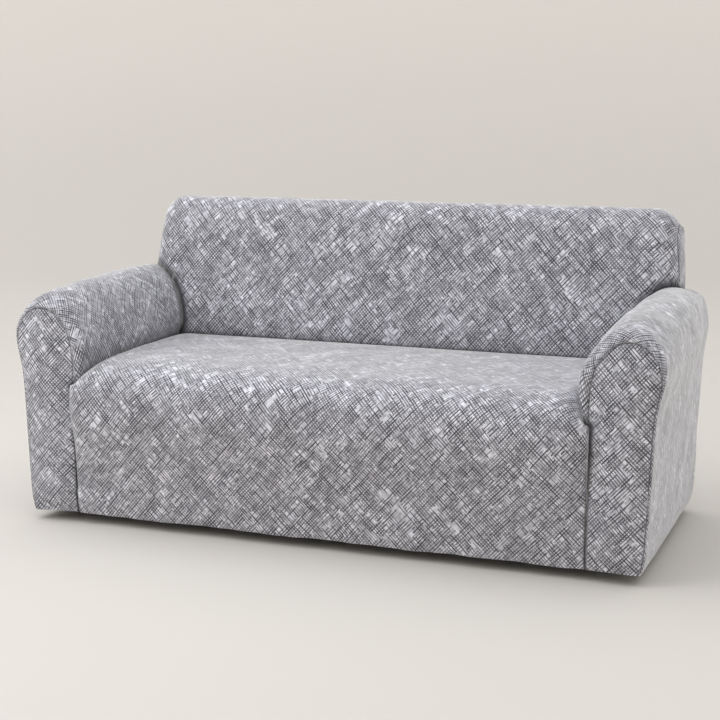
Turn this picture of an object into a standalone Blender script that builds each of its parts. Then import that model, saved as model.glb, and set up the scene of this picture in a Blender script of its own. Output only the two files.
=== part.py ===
"""Fitted slipcover of a roll-arm sofa, empty inside.

Nine cut pieces of stretch cloth, each a thin closed sheet in the shape it takes over the
sofa: seat panel, inside back panel, outside back panel, two back gussets, two arm panels
and two arm front panels. Run with blender --background --python part.py.

Lengths are metres. The tables hold places on the sofa: x to the right, y to the back from
the plane of the arm fronts, z up from the floor. An empty then moves everything so that the
world origin lies under the cloth at the middle of the back's crest, where the sofa holds it.
"""
import bpy
import numpy as np

# ---------------------------------------------------------------- driving sizes
CLOTH = 0.002            # thickness of the knitted cloth
SEAM_GAP = 0.00022       # each sheet stops this far short of a flat or hollow seam
CORNER_GAP = 0.0009      # and this far short of a seam on a rounded outer corner
BUTT_GAP = 0.0056        # the outside back stops this far short of the arm panel, behind its edge
SHOULDER_GAP = 0.0070    # and this far short under the arm's rear shoulder
HEM_Z = 0.031            # height of the hem above the floor
FRONT_SEAM_X = 0.752     # half width of the seat panel at the arm front seams
CREASE_BACK_Y = 0.626    # crease between seat and inside back
CREASE_BACK_Z = 0.466
CREST = (0.0, 0.765, 0.906)          # underside of the cloth at the back's crest
REAR_HEM_Y = 0.789       # rear face: its place at the hem and how it leans back above
REAR_LEAN = 0.088
REAR_HEM_CLEAR_Z = 0.080 # below this height the rear corner of the arm keeps level at the hem
BACK_ROUND = 0.080       # radius that rolls the back's face over to its gusset
BACK_ROLL = 0.074        # width of that roll, where the gusset seam lies
BACK_TOP_HALF = 0.830    # half width of the back at BACK_TOP_Z, and how it widens below
BACK_TOP_Z = 0.85
BACK_SPLAY_END_Z = 0.60  # below this height it widens no more
BACK_SPLAY = 0.10
BACK_UNEVEN = {-1: 0.005, 1: 0.010}   # the cover sits a little wider on the right side
GUSSET_BULGE = 0.009     # how far the gusset swells between its seams
ARM_REAR_ROUND = 0.030   # radius of the arm's rear corner
ARM_FRONT_ROUND = 0.012  # radius of the arm's front corner, on its outer side
ARM_CROWN_ROUND = 0.036  # added to it over the crown of the arm
ARM_CROWN_WAY = 0.27     # share of the way round the arm at its crown, and how far it spreads
ARM_CROWN_SPREAD = 0.13
ARM_TOP_HEIGHTS = (0.50, 0.66)       # the rise of the arm's top comes in between these heights
CREASE_WAY = 0.085       # share of the way round the arm that follows the slope of the seat crease
SCROLL_LIMIT = 0.907     # the scroll beyond this x fades towards the rear
SCROLL_FADE = 0.45
SCROLL_FADE_Y = (0.45, 0.80)         # between these places
FRONT_CROWN = 0.006      # how far the arm front panel swells
FRONT_CROWN_SHARES = (0.25, 0.80)    # full between these shares of its height
SEAT_ROLL = 0.056        # width over which the seat cushion rolls down to its side seam
SEAT_ROLL_POWER = 1.7
SEAT_WAVES = ((0.0032, 0.247, 0.6), (0.0024, 0.391, 2.1))  # amplitude, wavelength, phase
SEAT_WAVE_SHIFT = 0.09   # the height waves run this far ahead of the depth waves
SEAT_PUFF_ROWS = ((2, 7), (9, 13))   # rows of SEAT_ROWS where the waves come in and go out
HEM_WAVES = ((0.0016, 0.310, 1.1), (0.0011, 0.173, 0.2))
HEM_WAVE_ROWS = (13, 15)

# Round the right arm, from the seat crease over the crown to the hem outside:
# x and z of its section, then x and z of the seam to the arm front panel.
ARM_ROWS = np.array([
    # section x, z     front seam x, z
    (0.7360, 0.466, 0.7520, 0.466),   # crease at the seat
    (0.7340, 0.479, 0.7520, 0.476),
    (0.7210, 0.515, 0.7530, 0.502),   # inner side, its fullest
    (0.7275, 0.557, 0.7590, 0.536),
    (0.7450, 0.603, 0.7730, 0.578),
    (0.7750, 0.647, 0.7990, 0.617),   # inner shoulder
    (0.8120, 0.675, 0.8290, 0.638),
    (0.8500, 0.682, 0.8610, 0.643),   # crown
    (0.8860, 0.672, 0.8915, 0.629),
    (0.9180, 0.643, 0.9165, 0.602),   # outer shoulder
    (0.9390, 0.600, 0.9305, 0.572),
    (0.9440, 0.553, 0.9345, 0.535),   # scroll, its widest
    (0.9350, 0.498, 0.9280, 0.493),
    (0.9240, 0.440, 0.9175, 0.437),   # under the scroll
    (0.9180, 0.330, 0.9120, 0.330),
    (0.9135, 0.210, 0.9075, 0.210),
    (0.9090, 0.105, 0.9030, 0.105),
    (0.9050, 0.062, 0.8990, 0.062),
    (0.8955, 0.031, 0.8895, 0.031),   # hem, drawn in
])

# Crease between seat and arm: y from the front to the back, z.
CREASE_ROWS = np.array([
    (0.000, 0.408), (0.030, 0.419), (0.110, 0.436), (0.240, 0.447), (0.420, 0.459),
    (CREASE_BACK_Y, CREASE_BACK_Z),
])

# Rise of the arm's top along its length: y, rise.
ARM_TOP_ROWS = np.array([
    (0.00, 0.000), (0.12, 0.001), (0.30, 0.005), (0.48, 0.010), (0.62, 0.010),
    (0.70, 0.003), (0.78, -0.009), (0.88, -0.014),
])

# Down the seat panel from the back crease to the hem: y and z in the middle of the seat,
# then y and z of its side edge.
SEAT_ROWS = np.array([
    # middle y, z     side y, z
    (CREASE_BACK_Y, CREASE_BACK_Z, CREASE_BACK_Y, CREASE_BACK_Z),
    (0.610, 0.4760, 0.610, 0.4655),
    (0.560, 0.4810, 0.560, 0.4640),
    (0.420, 0.4840, 0.420, 0.4590),
    (0.240, 0.4850, 0.240, 0.4470),
    (0.105, 0.4820, 0.110, 0.4360),   # deck begins to turn
    (0.038, 0.4740, 0.050, 0.4230),
    (-0.010, 0.4560, 0.018, 0.4146),
    (-0.037, 0.4240, 0.000, 0.4080),  # meets the top of the arm front seam
    (-0.049, 0.3780, 0.000, 0.3700),  # fullest part of the front
    (-0.047, 0.3180, 0.000, 0.3180),
    (-0.033, 0.2550, 0.000, 0.2550),
    (-0.016, 0.1900, 0.000, 0.1900),
    (-0.005, 0.1250, 0.000, 0.1250),
    (0.000, 0.0750, 0.000, 0.0750),
    (0.008, HEM_Z, 0.008, HEM_Z),     # hem, drawn in
])
SEAT_CORNER_ROW = 8

# Side view of the back, from the seat crease over the crest down to the hem: y, z.
BACK_ROWS = np.array([
    (CREASE_BACK_Y, CREASE_BACK_Z), (0.6200, 0.500), (0.6240, 0.550), (0.6370, 0.620),
    (0.6520, 0.700), (0.6650, 0.780), (0.6790, 0.836), (0.7000, 0.877), (0.7300, 0.901),
    (0.7650, 0.908), (0.8020, 0.903), (0.8360, 0.886), (0.8540, 0.860), (0.8600, 0.820),
    (0.8480, 0.700), (0.8360, 0.560), (0.8220, 0.400), (0.8060, 0.230), (0.7920, 0.070),
    (0.7810, HEM_Z),
])
TOP_SEAM_ROW = 12.6      # where the inside back panel ends behind the crest
REAR_FACE_ROW = 13       # below this row the profile is the rear face
ARM_REACH_ROW = 6        # the arm meets the inside back below this row

# ---------------------------------------------------------------- mesh stations
# Half of the seat's columns, from the middle to the side.
ACROSS = np.array([0, 0.20, 0.40, 0.58, 0.74, 0.86, 0.93, 0.965, 0.987, 1.0])
DECK_STATIONS = np.array([0, 0.5, 1, 2, 3.5, 5, 6, 6.6, 7.2, 7.6, 7.85, 8])
APRON_STATIONS = np.array([8, 9, 10, 11.3, 12.6, 14, 15])
# Columns of the arm panel, as rows of ARM_ROWS at its front edge.
RIM_ROWS = np.array([0, 1, 2.1, 3.4, 4.7, 5.4, 6, 6.5, 7, 8, 9, 10, 11, 12, 13, 13.8, 14.8, 15.8,
                     16.6, 17.2, 18])
INNER_SHOULDER = 4       # columns of the arm panel: at its inner shoulder,
CROWN = 8                # under the gusset,
OUTER_SHOULDER = 10      # and at its outer shoulder
# First guesses of along, way and back row where the gusset seam comes down on the arm.
GUSSET_FOOT_FRONT = (0.83, 0.29, 3.9)
GUSSET_FOOT_REAR = (0.95, 0.29, 14.2)
SOLVER_STEPS = 12
FINE_STATIONS = 400      # points of the fine rows that heights are looked up in
STRIP = np.array([0, 0.40, 0.68, 0.87, 1.0])         # columns of the roll beside the gusset
GUSSET_FRONT_STATIONS = np.array([0, 0.22, 0.42, 0.60, 0.74, 0.85, 0.93, 1.0])
CREST_STATIONS = np.array([9.0, 9.5, 10.0, 10.5, 11.0])
REAR_TOP_STATIONS = np.array([11.0, 11.6, 12.1, TOP_SEAM_ROW, 13.0, 13.4])
TOP_SEAM = 3             # the station at the seam between the two back panels
ARM_REAR_STATIONS = np.array([0, 0.35, 0.65, 0.88, 1.0])
REAR_SEAM_FALL = 9       # how fast the rear seam of the arm runs out to the rear face
HEM_BORDER = 0.86        # along of the arm at the hem, where its rear part begins
LEVEL_DROP = 0.40        # height over which the rear corner of the back fades out below the arm
LEVEL_SPREAD = 0.92      # spreads the columns of the back a little towards its middle
EDGE_TURN = 6            # how late a row of the back turns to meet its gusset seam
TINY = 1e-3              # step along a curve that gives its direction

CLOTH_COLOUR = (0.300, 0.303, 0.322, 1.0)
CLOTH_ROUGHNESS = 0.9


# ---------------------------------------------------------------- curves
def spline(rows, at):
    """Smooth curve through the rows of a table; at counts rows and may lie between them."""
    at = np.clip(np.asarray(at, float), 0, len(rows) - 1)
    first = np.minimum(at.astype(int), len(rows) - 2)
    f = (at - first)[..., None]
    padded = np.vstack([2 * rows[0] - rows[1], rows, 2 * rows[-1] - rows[-2]])
    a, b, c, d = (padded[first + k] for k in range(4))
    bend = 2 * a - 5 * b + 4 * c - d + f * (3 * (b - c) + d - a)
    return b + 0.5 * f * (c - a + f * bend)


def ease(low, high, value):
    """Smooth step from 0 at low to 1 at high."""
    t = np.clip((value - low) / (high - low), 0, 1)
    return t * t * (3 - 2 * t)


def quarter_round(t):
    """Depth of a quarter circle of radius 1 that starts flat at t = 0 and ends steep at t = 1."""
    return 1 - np.sqrt(1 - np.clip(t, 0, 1) ** 2)


def waves(terms, x):
    """Sum of a few sine waves along x."""
    return sum(a * np.sin(2 * np.pi * x / length + phase) for a, length, phase in terms)


ARM_KNOTS = np.concatenate([[0], np.cumsum(np.hypot(*np.diff(ARM_ROWS[:, :2], axis=0).T))])
ARM_KNOTS /= ARM_KNOTS[-1]


def arm_row_to_round(row):
    """Share of the way round the arm at a row of ARM_ROWS."""
    return np.interp(row, np.arange(len(ARM_ROWS)), ARM_KNOTS)


def arm_section(way):
    """Section and front seam at a share of the way round the arm."""
    return spline(ARM_ROWS, np.interp(way, ARM_KNOTS, np.arange(len(ARM_ROWS))))


def rear_y(z):
    """Rear face of the sofa at height z."""
    return REAR_HEM_Y + REAR_LEAN * (z - HEM_Z)


# ---------------------------------------------------------------- forms
def arm_form(along, way):
    """Point of the right arm: along 0 at the front and 1 at the rear face, way round it."""
    along, way = np.broadcast_arrays(np.asarray(along, float), np.asarray(way, float))
    x, z, seam_x, seam_z = np.moveaxis(arm_section(way), -1, 0)
    rear = rear_y(z)
    y = along * rear
    ahead, behind = arm_section(np.minimum(way + TINY, 1)), arm_section(np.maximum(way - TINY, 0))
    tangent = (ahead - behind)[..., :2]
    tangent /= np.linalg.norm(tangent, axis=-1, keepdims=True)

    top = ease(*ARM_TOP_HEIGHTS, z)
    above_hem = ease(HEM_Z, REAR_HEM_CLEAR_Z, z)
    z = z + np.interp(y, *ARM_TOP_ROWS.T) * top
    x = x - SCROLL_FADE * np.clip(x - SCROLL_LIMIT, 0, None) * ease(*SCROLL_FADE_Y, y)

    near_crown = np.exp(-((way - ARM_CROWN_WAY) / ARM_CROWN_SPREAD) ** 2)
    radius = ARM_FRONT_ROUND + ARM_CROWN_ROUND * near_crown
    front = quarter_round(1 - y / radius)
    x = x + (seam_x - x) * front
    z = z + (seam_z - z) * front

    inset = ARM_REAR_ROUND * quarter_round((y - rear) / ARM_REAR_ROUND + 1)
    x = x + tangent[..., 1] * inset
    z = z - tangent[..., 0] * inset * above_hem

    crease = np.interp(y, *CREASE_ROWS.T) - CREASE_BACK_Z
    z = z + crease * np.clip(1 - way / CREASE_WAY, 0, 1)
    return np.stack([x, y, z], -1)


def back_profile(row):
    """Point of the back's side view and its outward normal, both as y, z."""
    tangent = spline(BACK_ROWS, row + TINY) - spline(BACK_ROWS, row - TINY)
    tangent /= np.linalg.norm(tangent, axis=-1, keepdims=True)
    normal = np.stack([-tangent[..., 1], tangent[..., 0]], -1)
    return spline(BACK_ROWS, row), normal


def back_half_width(z, side):
    """Half width of the back at its gusset seam."""
    splay = BACK_SPLAY * (BACK_TOP_Z - np.clip(z, BACK_SPLAY_END_Z, BACK_TOP_Z))
    return BACK_TOP_HALF + splay + BACK_UNEVEN[side]


def back_form(x, row, side):
    """Point of the back at distance x from the middle: its profile, rolled in at the sides."""
    profile, normal = back_profile(row)
    roll = np.clip(x - back_half_width(profile[..., 1], side) + BACK_ROLL, 0, BACK_ROLL)
    depth = BACK_ROUND * quarter_round(roll / BACK_ROUND)
    yz = profile - normal * depth[..., None]
    return np.stack([x + 0 * yz[..., 0], yz[..., 0], yz[..., 1]], -1)


def gusset_seam(row, side):
    """Point of the back's gusset seam."""
    return back_form(back_half_width(back_profile(row)[0][..., 1], side), row, side)


def seam_corner(side, start):
    """Along, way and back row where the gusset seam comes down on the arm."""
    def miss(place):
        return arm_form(place[0], place[1]) - gusset_seam(place[2], side)

    place = np.array(start, float)
    step = 1e-5
    for _ in range(SOLVER_STEPS):
        slope = np.stack([(miss(place + step * axis) - miss(place)) / step for axis in np.eye(3)], 1)
        place = place - np.linalg.solve(slope, miss(place))
    return place


def arm_meets_back(way, side):
    """Along of the arm and row of the back where arm and inside back meet."""
    rows = np.linspace(0, ARM_REACH_ROW, FINE_STATIONS)
    rear = rear_y(arm_section(way)[..., 1])
    y = np.full(len(way), CREASE_BACK_Y)
    for _ in range(SOLVER_STEPS):
        point = arm_form(y / rear, way)
        heights = back_form(point[:, :1], rows[None, :], side)[..., 2]
        row = np.array([np.interp(z, column, rows) for z, column in zip(point[:, 2], heights)])
        y = back_form(point[:, 0], row, side)[..., 1]
    return y / rear, row


class Seams:
    """The arm panel of one side and the seams it shares, all as right-hand forms."""

    def __init__(self, side):
        self.side = side
        front = seam_corner(side, GUSSET_FOOT_FRONT)
        rear = seam_corner(side, GUSSET_FOOT_REAR)
        rim = arm_row_to_round(RIM_ROWS)
        inner = rim[:CROWN + 1] / rim[CROWN]
        outer = (rim[CROWN:] - rim[CROWN]) / (1 - rim[CROWN])

        crease_y = np.interp(DECK_STATIONS[::-1], np.arange(len(SEAT_ROWS)), SEAT_ROWS[:, 2])
        forward = crease_y / CREASE_BACK_Y
        along, self.junction_row = arm_meets_back(front[1] * inner, side)
        along[0], self.junction_row[0] = CREASE_BACK_Y / rear_y(CREASE_BACK_Z), 0
        along[-1], self.junction_row[-1] = front[0], front[2]
        border = np.concatenate([along, front[0] + (HEM_BORDER - front[0]) * outer[1:]])
        rear_along = np.concatenate([along[:-1], 1 - (1 - rear[0]) * (1 - outer) ** REAR_SEAM_FALL])

        rearward = ARM_REAR_STATIONS[1:, None]
        crown_way = front[1] + (rear[1] - front[1]) * ARM_REAR_STATIONS[:, None]
        rear_way = np.concatenate([crown_way * inner[:-1],
                                   crown_way + (1 - crown_way) * outer], axis=1)
        along = np.concatenate([forward[:, None] * border, border + (rear_along - border) * rearward])
        way = np.concatenate([rim + (rear_way[0] - rim) * forward[:, None], rear_way[1:]])
        self.arm = arm_form(along, way)

        self.last_forward = len(forward) - 1
        self.crease = self.arm[self.last_forward::-1, 0]
        self.rim = self.arm[0]
        self.foot = self.arm[self.last_forward:, CROWN]
        self.junction = self.arm[self.last_forward, :CROWN + 1]
        self.arm_rear = self.arm[-1, CROWN:]
        self.gusset_front_row = front[2] + (CREST_STATIONS[0] - front[2]) * GUSSET_FRONT_STATIONS
        self.gusset_rear_row = np.concatenate([REAR_TOP_STATIONS,
                                               [0.5 * (REAR_TOP_STATIONS[-1] + rear[2]), rear[2]]])
        self.gusset_front = gusset_seam(self.gusset_front_row, side)
        self.gusset_top = gusset_seam(CREST_STATIONS, side)
        self.gusset_rear = gusset_seam(self.gusset_rear_row, side)


SEAMS = {side: Seams(side) for side in (-1, 1)}


# ---------------------------------------------------------------- panels
def mirror(points, side):
    """The same points on the left (-1) or right (1) side."""
    return points * np.array([side, 1, 1])


def both_halves(half):
    """Whole panel, and which of its faces are cloth, from the function that gives one half."""
    (left, left_cloth), (right, right_cloth) = half(-1), half(1)
    grid = np.concatenate([mirror(left, -1)[:, :0:-1], right], axis=1)
    return grid, np.concatenate([left_cloth[:, ::-1], right_cloth], axis=1)


def pull(grid, edge, inner, distance):
    """Draw an edge of a panel back from its seam, towards the next line of points."""
    inward = grid[inner] - grid[edge]
    grid[edge] += inward / np.linalg.norm(inward, axis=-1, keepdims=True) * distance


def all_cloth(grid):
    """Mark every face of a grid as cloth."""
    return np.ones((grid.shape[0] - 1, grid.shape[1] - 1), bool)


def seat_half(side):
    """Deck and front in one piece: rows from the back crease to the hem."""
    stations = np.concatenate([DECK_STATIONS, APRON_STATIONS[1:]])
    middle_y, middle_z = spline(SEAT_ROWS, stations)[:, :2].T
    edge = np.concatenate([SEAMS[side].crease, apron_edge()[1:]])

    x = ACROSS[None, :] * edge[:, :1]
    roll = np.clip((x - edge[:, :1] + SEAT_ROLL) / SEAT_ROLL, 0, 1)
    full = (1 - roll ** SEAT_ROLL_POWER) ** (1 / SEAT_ROLL_POWER)
    comes, goes = SEAT_PUFF_ROWS
    puff = (ease(*comes, stations) * (1 - ease(*goes, stations)))[:, None] * full
    low = ease(*HEM_WAVE_ROWS, stations)[:, None] * full
    y = edge[:, 1:2] + (middle_y[:, None] - edge[:, 1:2]) * full
    z = edge[:, 2:3] + (middle_z[:, None] - edge[:, 2:3]) * full
    y = y + waves(SEAT_WAVES, side * x) * puff + waves(HEM_WAVES, side * x) * low
    z = z + waves(SEAT_WAVES, side * x + SEAT_WAVE_SHIFT) * puff
    grid = np.stack([x, y, z], -1)
    pull(grid, np.s_[0], np.s_[1], SEAM_GAP)
    pull(grid, np.s_[:, -1], np.s_[:, -2], SEAM_GAP)
    return grid, all_cloth(grid)


def apron_edge():
    """Seam between the seat's front and the arm front, downwards."""
    y, z = (np.interp(APRON_STATIONS, np.arange(len(SEAT_ROWS)), SEAT_ROWS[:, k]) for k in (2, 3))
    return np.stack([np.full(len(y), FRONT_SEAM_X), y, z], -1)


def across_back(right, width, lean=1.0):
    """Columns of a row of the back: across the middle, then across its roll to x = right."""
    even = np.linspace(0, 1, len(ACROSS)) ** LEVEL_SPREAD
    middle = (ACROSS + (even - ACROSS) * lean) * (right - width)
    return np.concatenate([middle, right - width + width * STRIP[1:]])


def inside_back_half(side):
    """Face of the back and its roll over the crest: rows upwards."""
    seams = SEAMS[side]
    shoulder = seams.junction[INNER_SHOULDER]
    width = seams.junction[-1, 0] - shoulder[0]
    x, row = [], []
    for level in range(INNER_SHOULDER + 1):
        right = seams.junction[level, 0]
        x.append(across_back(right, 0, level / INNER_SHOULDER))
        row.append(np.full(len(x[-1]), seams.junction_row[level]))
    x[-1][len(ACROSS):] = seams.junction[INNER_SHOULDER + 1:, 0]
    row[-1][len(ACROSS):] = seams.junction_row[INNER_SHOULDER + 1:]

    first = seams.junction_row[INNER_SHOULDER]
    rise = first + (CREST_STATIONS[0] - first) * GUSSET_FRONT_STATIONS
    over = np.concatenate([CREST_STATIONS[1:], REAR_TOP_STATIONS[1:TOP_SEAM + 1]])
    middle_rows = np.concatenate([rise[1:], over])
    edge_rows = np.concatenate([seams.gusset_front_row[1:], over])
    for middle_row, edge_row in zip(middle_rows, edge_rows):
        right = gusset_seam(edge_row, side)[0]
        x.append(across_back(right, width))
        row.append(middle_row + (edge_row - middle_row) * (x[-1] / right) ** EDGE_TURN)
    grid = back_form(np.array(x), np.array(row), side)

    low, inner = INNER_SHOULDER, len(ACROSS) - 1
    pull(grid, np.s_[0, :inner + 1], np.s_[1, :inner + 1], SEAM_GAP)
    pull(grid, np.s_[:low + 1, inner], np.s_[:low + 1, inner - 1], SEAM_GAP)
    pull(grid, np.s_[low, inner:], np.s_[low + 1, inner:], SEAM_GAP)
    pull(grid, np.s_[low:, -1], np.s_[low:, -2], CORNER_GAP)
    pull(grid, np.s_[-1], np.s_[-2], CORNER_GAP)
    cloth = all_cloth(grid)
    cloth[:low, inner:] = False
    return grid, cloth


def outside_back_half(side):
    """Rear face from the top seam to the hem: rows downwards."""
    seams = SEAMS[side]
    width = seams.junction[-1, 0] - seams.junction[INNER_SHOULDER, 0]
    upper_row = seams.gusset_rear_row[TOP_SEAM:]
    x = np.array([across_back(right, width) for right in seams.gusset_rear[TOP_SEAM:, 0]])
    upper = back_form(x, upper_row[:, None], side)
    corner = upper[-1, -1]

    edge = seams.arm_rear[OUTER_SHOULDER - CROWN:]
    profile = spline(BACK_ROWS, np.linspace(REAR_FACE_ROW, len(BACK_ROWS) - 1, FINE_STATIONS))[::-1]
    face_y = np.interp(edge[:, 2], profile[:, 1], profile[:, 0])
    corner_depth = np.interp(corner[2], profile[:, 1], profile[:, 0]) - corner[1]
    depth = corner_depth * (1 - ease(0, LEVEL_DROP, corner[2] - edge[:, 2]))
    border = np.stack([edge[:, 0] * corner[0] / edge[0, 0], face_y - depth, edge[:, 2]], -1)
    border[0] = corner
    x = np.array([across_back(right, width) for right in border[:, 0]])
    roll = np.clip(x - border[:, :1] + BACK_ROLL, 0, BACK_ROLL) / BACK_ROUND
    share = quarter_round(roll) / quarter_round(BACK_ROLL / BACK_ROUND)
    y = face_y[:, None] + (border[:, 1] - face_y)[:, None] * share
    lower = np.stack([x, y, border[:, 2:] + 0 * x], -1)

    top = seams.arm_rear[:OUTER_SHOULDER - CROWN + 1]
    hem = border[-1] + (edge[-1] - border[-1]) * np.linspace(0, 1, len(top))[:, None]
    wing = patch(top, hem, border, edge)[:, 1:]
    middle = np.concatenate([upper, lower[1:]])
    spare = np.repeat(upper[:-1, -1:], wing.shape[1], axis=1)
    grid = np.concatenate([middle, np.concatenate([spare, wing])], axis=1)

    high, inner = len(upper) - 1, middle.shape[1] - 1
    pull(grid, np.s_[0, :inner + 1], np.s_[1, :inner + 1], CORNER_GAP)
    pull(grid, np.s_[:high + 1, inner], np.s_[:high + 1, inner - 1], CORNER_GAP)
    pull(grid, np.s_[high, inner:], np.s_[high + 1, inner:], SHOULDER_GAP)
    pull(grid, np.s_[high:, -1], np.s_[high:, -2], BUTT_GAP)
    cloth = all_cloth(grid)
    cloth[:high, inner:] = False
    return grid, cloth


def patch(bottom, top, left, right):
    """Coons patch between four edges that share their corners: rows from bottom to top."""
    u = np.linspace(0, 1, len(bottom))[None, :, None]
    v = np.linspace(0, 1, len(left))[:, None, None]
    ruled = (1 - v) * bottom[None] + v * top[None] + (1 - u) * left[:, None] + u * right[:, None]
    corners = ((1 - v) * ((1 - u) * bottom[0] + u * bottom[-1])
               + v * ((1 - u) * top[0] + u * top[-1]))
    return ruled - corners


def share_grids(grid):
    """How far each point lies along the columns and along the rows, 0 to 1."""
    u = np.linspace(0, 1, grid.shape[1])[None, :]
    v = np.linspace(0, 1, grid.shape[0])[:, None]
    return u, v


def gusset_panel(side):
    """Strip between the inside and outside back, standing on the arm: rows upwards."""
    seams = SEAMS[side]
    grid = patch(seams.foot, seams.gusset_top, seams.gusset_front, seams.gusset_rear[::-1])
    u, v = share_grids(grid)
    grid[..., 0] += GUSSET_BULGE * 4 * u * (1 - u) * np.sqrt(4 * v * (1 - v))
    pull(grid, np.s_[0], np.s_[1], SEAM_GAP)
    pull(grid, np.s_[-1], np.s_[-2], CORNER_GAP)
    pull(grid, np.s_[:, 0], np.s_[:, 1], CORNER_GAP)
    pull(grid, np.s_[:, -1], np.s_[:, -2], CORNER_GAP)
    return mirror(grid, side), all_cloth(grid)


def arm_panel(side):
    """Inner side, crown and outer side of an arm in one piece: rows to the rear."""
    seams = SEAMS[side]
    grid = seams.arm.copy()
    last = seams.last_forward
    pull(grid, np.s_[:last + 1, 0], np.s_[:last + 1, 1], SEAM_GAP)
    pull(grid, np.s_[last, :CROWN + 1], np.s_[last - 1, :CROWN + 1], SEAM_GAP)
    pull(grid, np.s_[last:, CROWN], np.s_[last:, CROWN + 1], SEAM_GAP)
    pull(grid, np.s_[-1, CROWN:], np.s_[-2, CROWN:], SEAM_GAP)
    pull(grid, np.s_[0], np.s_[1], CORNER_GAP)
    cloth = all_cloth(grid)
    cloth[last:, :CROWN] = False
    return mirror(grid, side), cloth


def arm_front_panel(side):
    """Scroll-topped front of an arm: rows from the hem up, columns outwards."""
    rim = SEAMS[side].rim
    left = np.concatenate([apron_edge()[::-1], rim[1:INNER_SHOULDER + 1]])
    right = rim[:OUTER_SHOULDER - 1:-1]
    top = rim[INNER_SHOULDER:OUTER_SHOULDER + 1]
    bottom = left[0] + (right[0] - left[0]) * np.linspace(0, 1, len(top))[:, None]
    grid = patch(bottom, top, left, right)
    u, v = share_grids(grid)
    low, high = FRONT_CROWN_SHARES
    full = ease(0, low, v) * (1 - ease(high, 1, v))
    grid[..., 1] -= FRONT_CROWN * (4 * u * (1 - u)) ** 2 * full
    for edge, inner in ((np.s_[-1], np.s_[-2]), (np.s_[:, 0], np.s_[:, 1]),
                        (np.s_[:, -1], np.s_[:, -2])):
        pull(grid, edge, inner, CORNER_GAP)
    return mirror(grid, side), all_cloth(grid)


# ---------------------------------------------------------------- Blender objects
def cloth_material(name):
    """Mid grey knitted cloth."""
    material = bpy.data.materials.new(name + "_cloth")
    material.use_nodes = True
    shader = material.node_tree.nodes["Principled BSDF"]
    shader.inputs["Base Color"].default_value = CLOTH_COLOUR
    shader.inputs["Roughness"].default_value = CLOTH_ROUGHNESS
    shader.inputs["Metallic"].default_value = 0.0
    material.diffuse_color = CLOTH_COLOUR
    return material


def add_panel(name, panel, collection, frame, outward):
    """Sheet of cloth on a grid of points; outward is a point on the side that shows."""
    grid, cloth = panel
    rows, columns = grid.shape[:2]
    index = np.arange(rows * columns).reshape(rows, columns)
    faces = np.stack([index[:-1, :-1], index[:-1, 1:], index[1:, 1:], index[1:, :-1]], -1)
    middle = grid[rows // 2, columns // 2]
    across = grid[rows // 2, columns // 2 + 1] - middle
    up = grid[rows // 2 + 1, columns // 2] - middle
    if np.dot(np.cross(across, up), np.array(outward) - middle) < 0:
        faces = faces[..., ::-1]
    used, faces = np.unique(faces[cloth], return_inverse=True)
    mesh = bpy.data.meshes.new(name)
    mesh.from_pydata(grid.reshape(-1, 3)[used].tolist(), [], faces.reshape(-1, 4).tolist())
    mesh.materials.append(cloth_material(name))
    mesh.shade_smooth()
    sheet = bpy.data.objects.new(name, mesh)
    sheet.parent = frame
    collection.objects.link(sheet)
    thickness = sheet.modifiers.new("cloth thickness", "SOLIDIFY")
    thickness.thickness = CLOTH
    thickness.offset = -1.0
    thickness.use_even_offset = True


def build():
    """Make every panel of the cover."""
    for old in list(bpy.data.objects):
        bpy.data.objects.remove(old, do_unlink=True)
    collection = bpy.data.collections.new("sofa_slipcover")
    bpy.context.scene.collection.children.link(collection)
    frame = bpy.data.objects.new("cover_frame", None)
    frame.location = [-value for value in CREST]
    collection.objects.link(frame)

    add_panel("seat_panel", both_halves(seat_half), collection, frame, (0, -3, 3))
    add_panel("inside_back_panel", both_halves(inside_back_half), collection, frame, (0, -3, 2))
    add_panel("outside_back_panel", both_halves(outside_back_half), collection, frame,
              (0, 5, 0.5))
    for side, word in ((-1, "left"), (1, "right")):
        outside = (side * 4, 0.4, 1.0)
        add_panel("back_gusset_" + word, gusset_panel(side), collection, frame, outside)
        add_panel("arm_panel_" + word, arm_panel(side), collection, frame, outside)
        add_panel("arm_front_" + word, arm_front_panel(side), collection, frame,
                  (side * 0.8, -4, 0.4))


build()
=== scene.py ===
# %% [markdown]
# # A stretch slipcover for a roll-arm sofa
# The cover is one garment for a sofa: nine cut pieces of knitted cloth, sewn along their edges,
# with a turned hem round the foot. It has no stuffing of its own. The sofa inside gives it its
# shape, and the stretch of the knit keeps it tight, so every piece is a smooth, thin sheet.
# The lesson makes each sheet as a surface worked out with numpy, gives it the thickness of the
# knit, and then draws the crosshatch of the cloth along the sheet with nodes.

# %% Load the frame
import math

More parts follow.
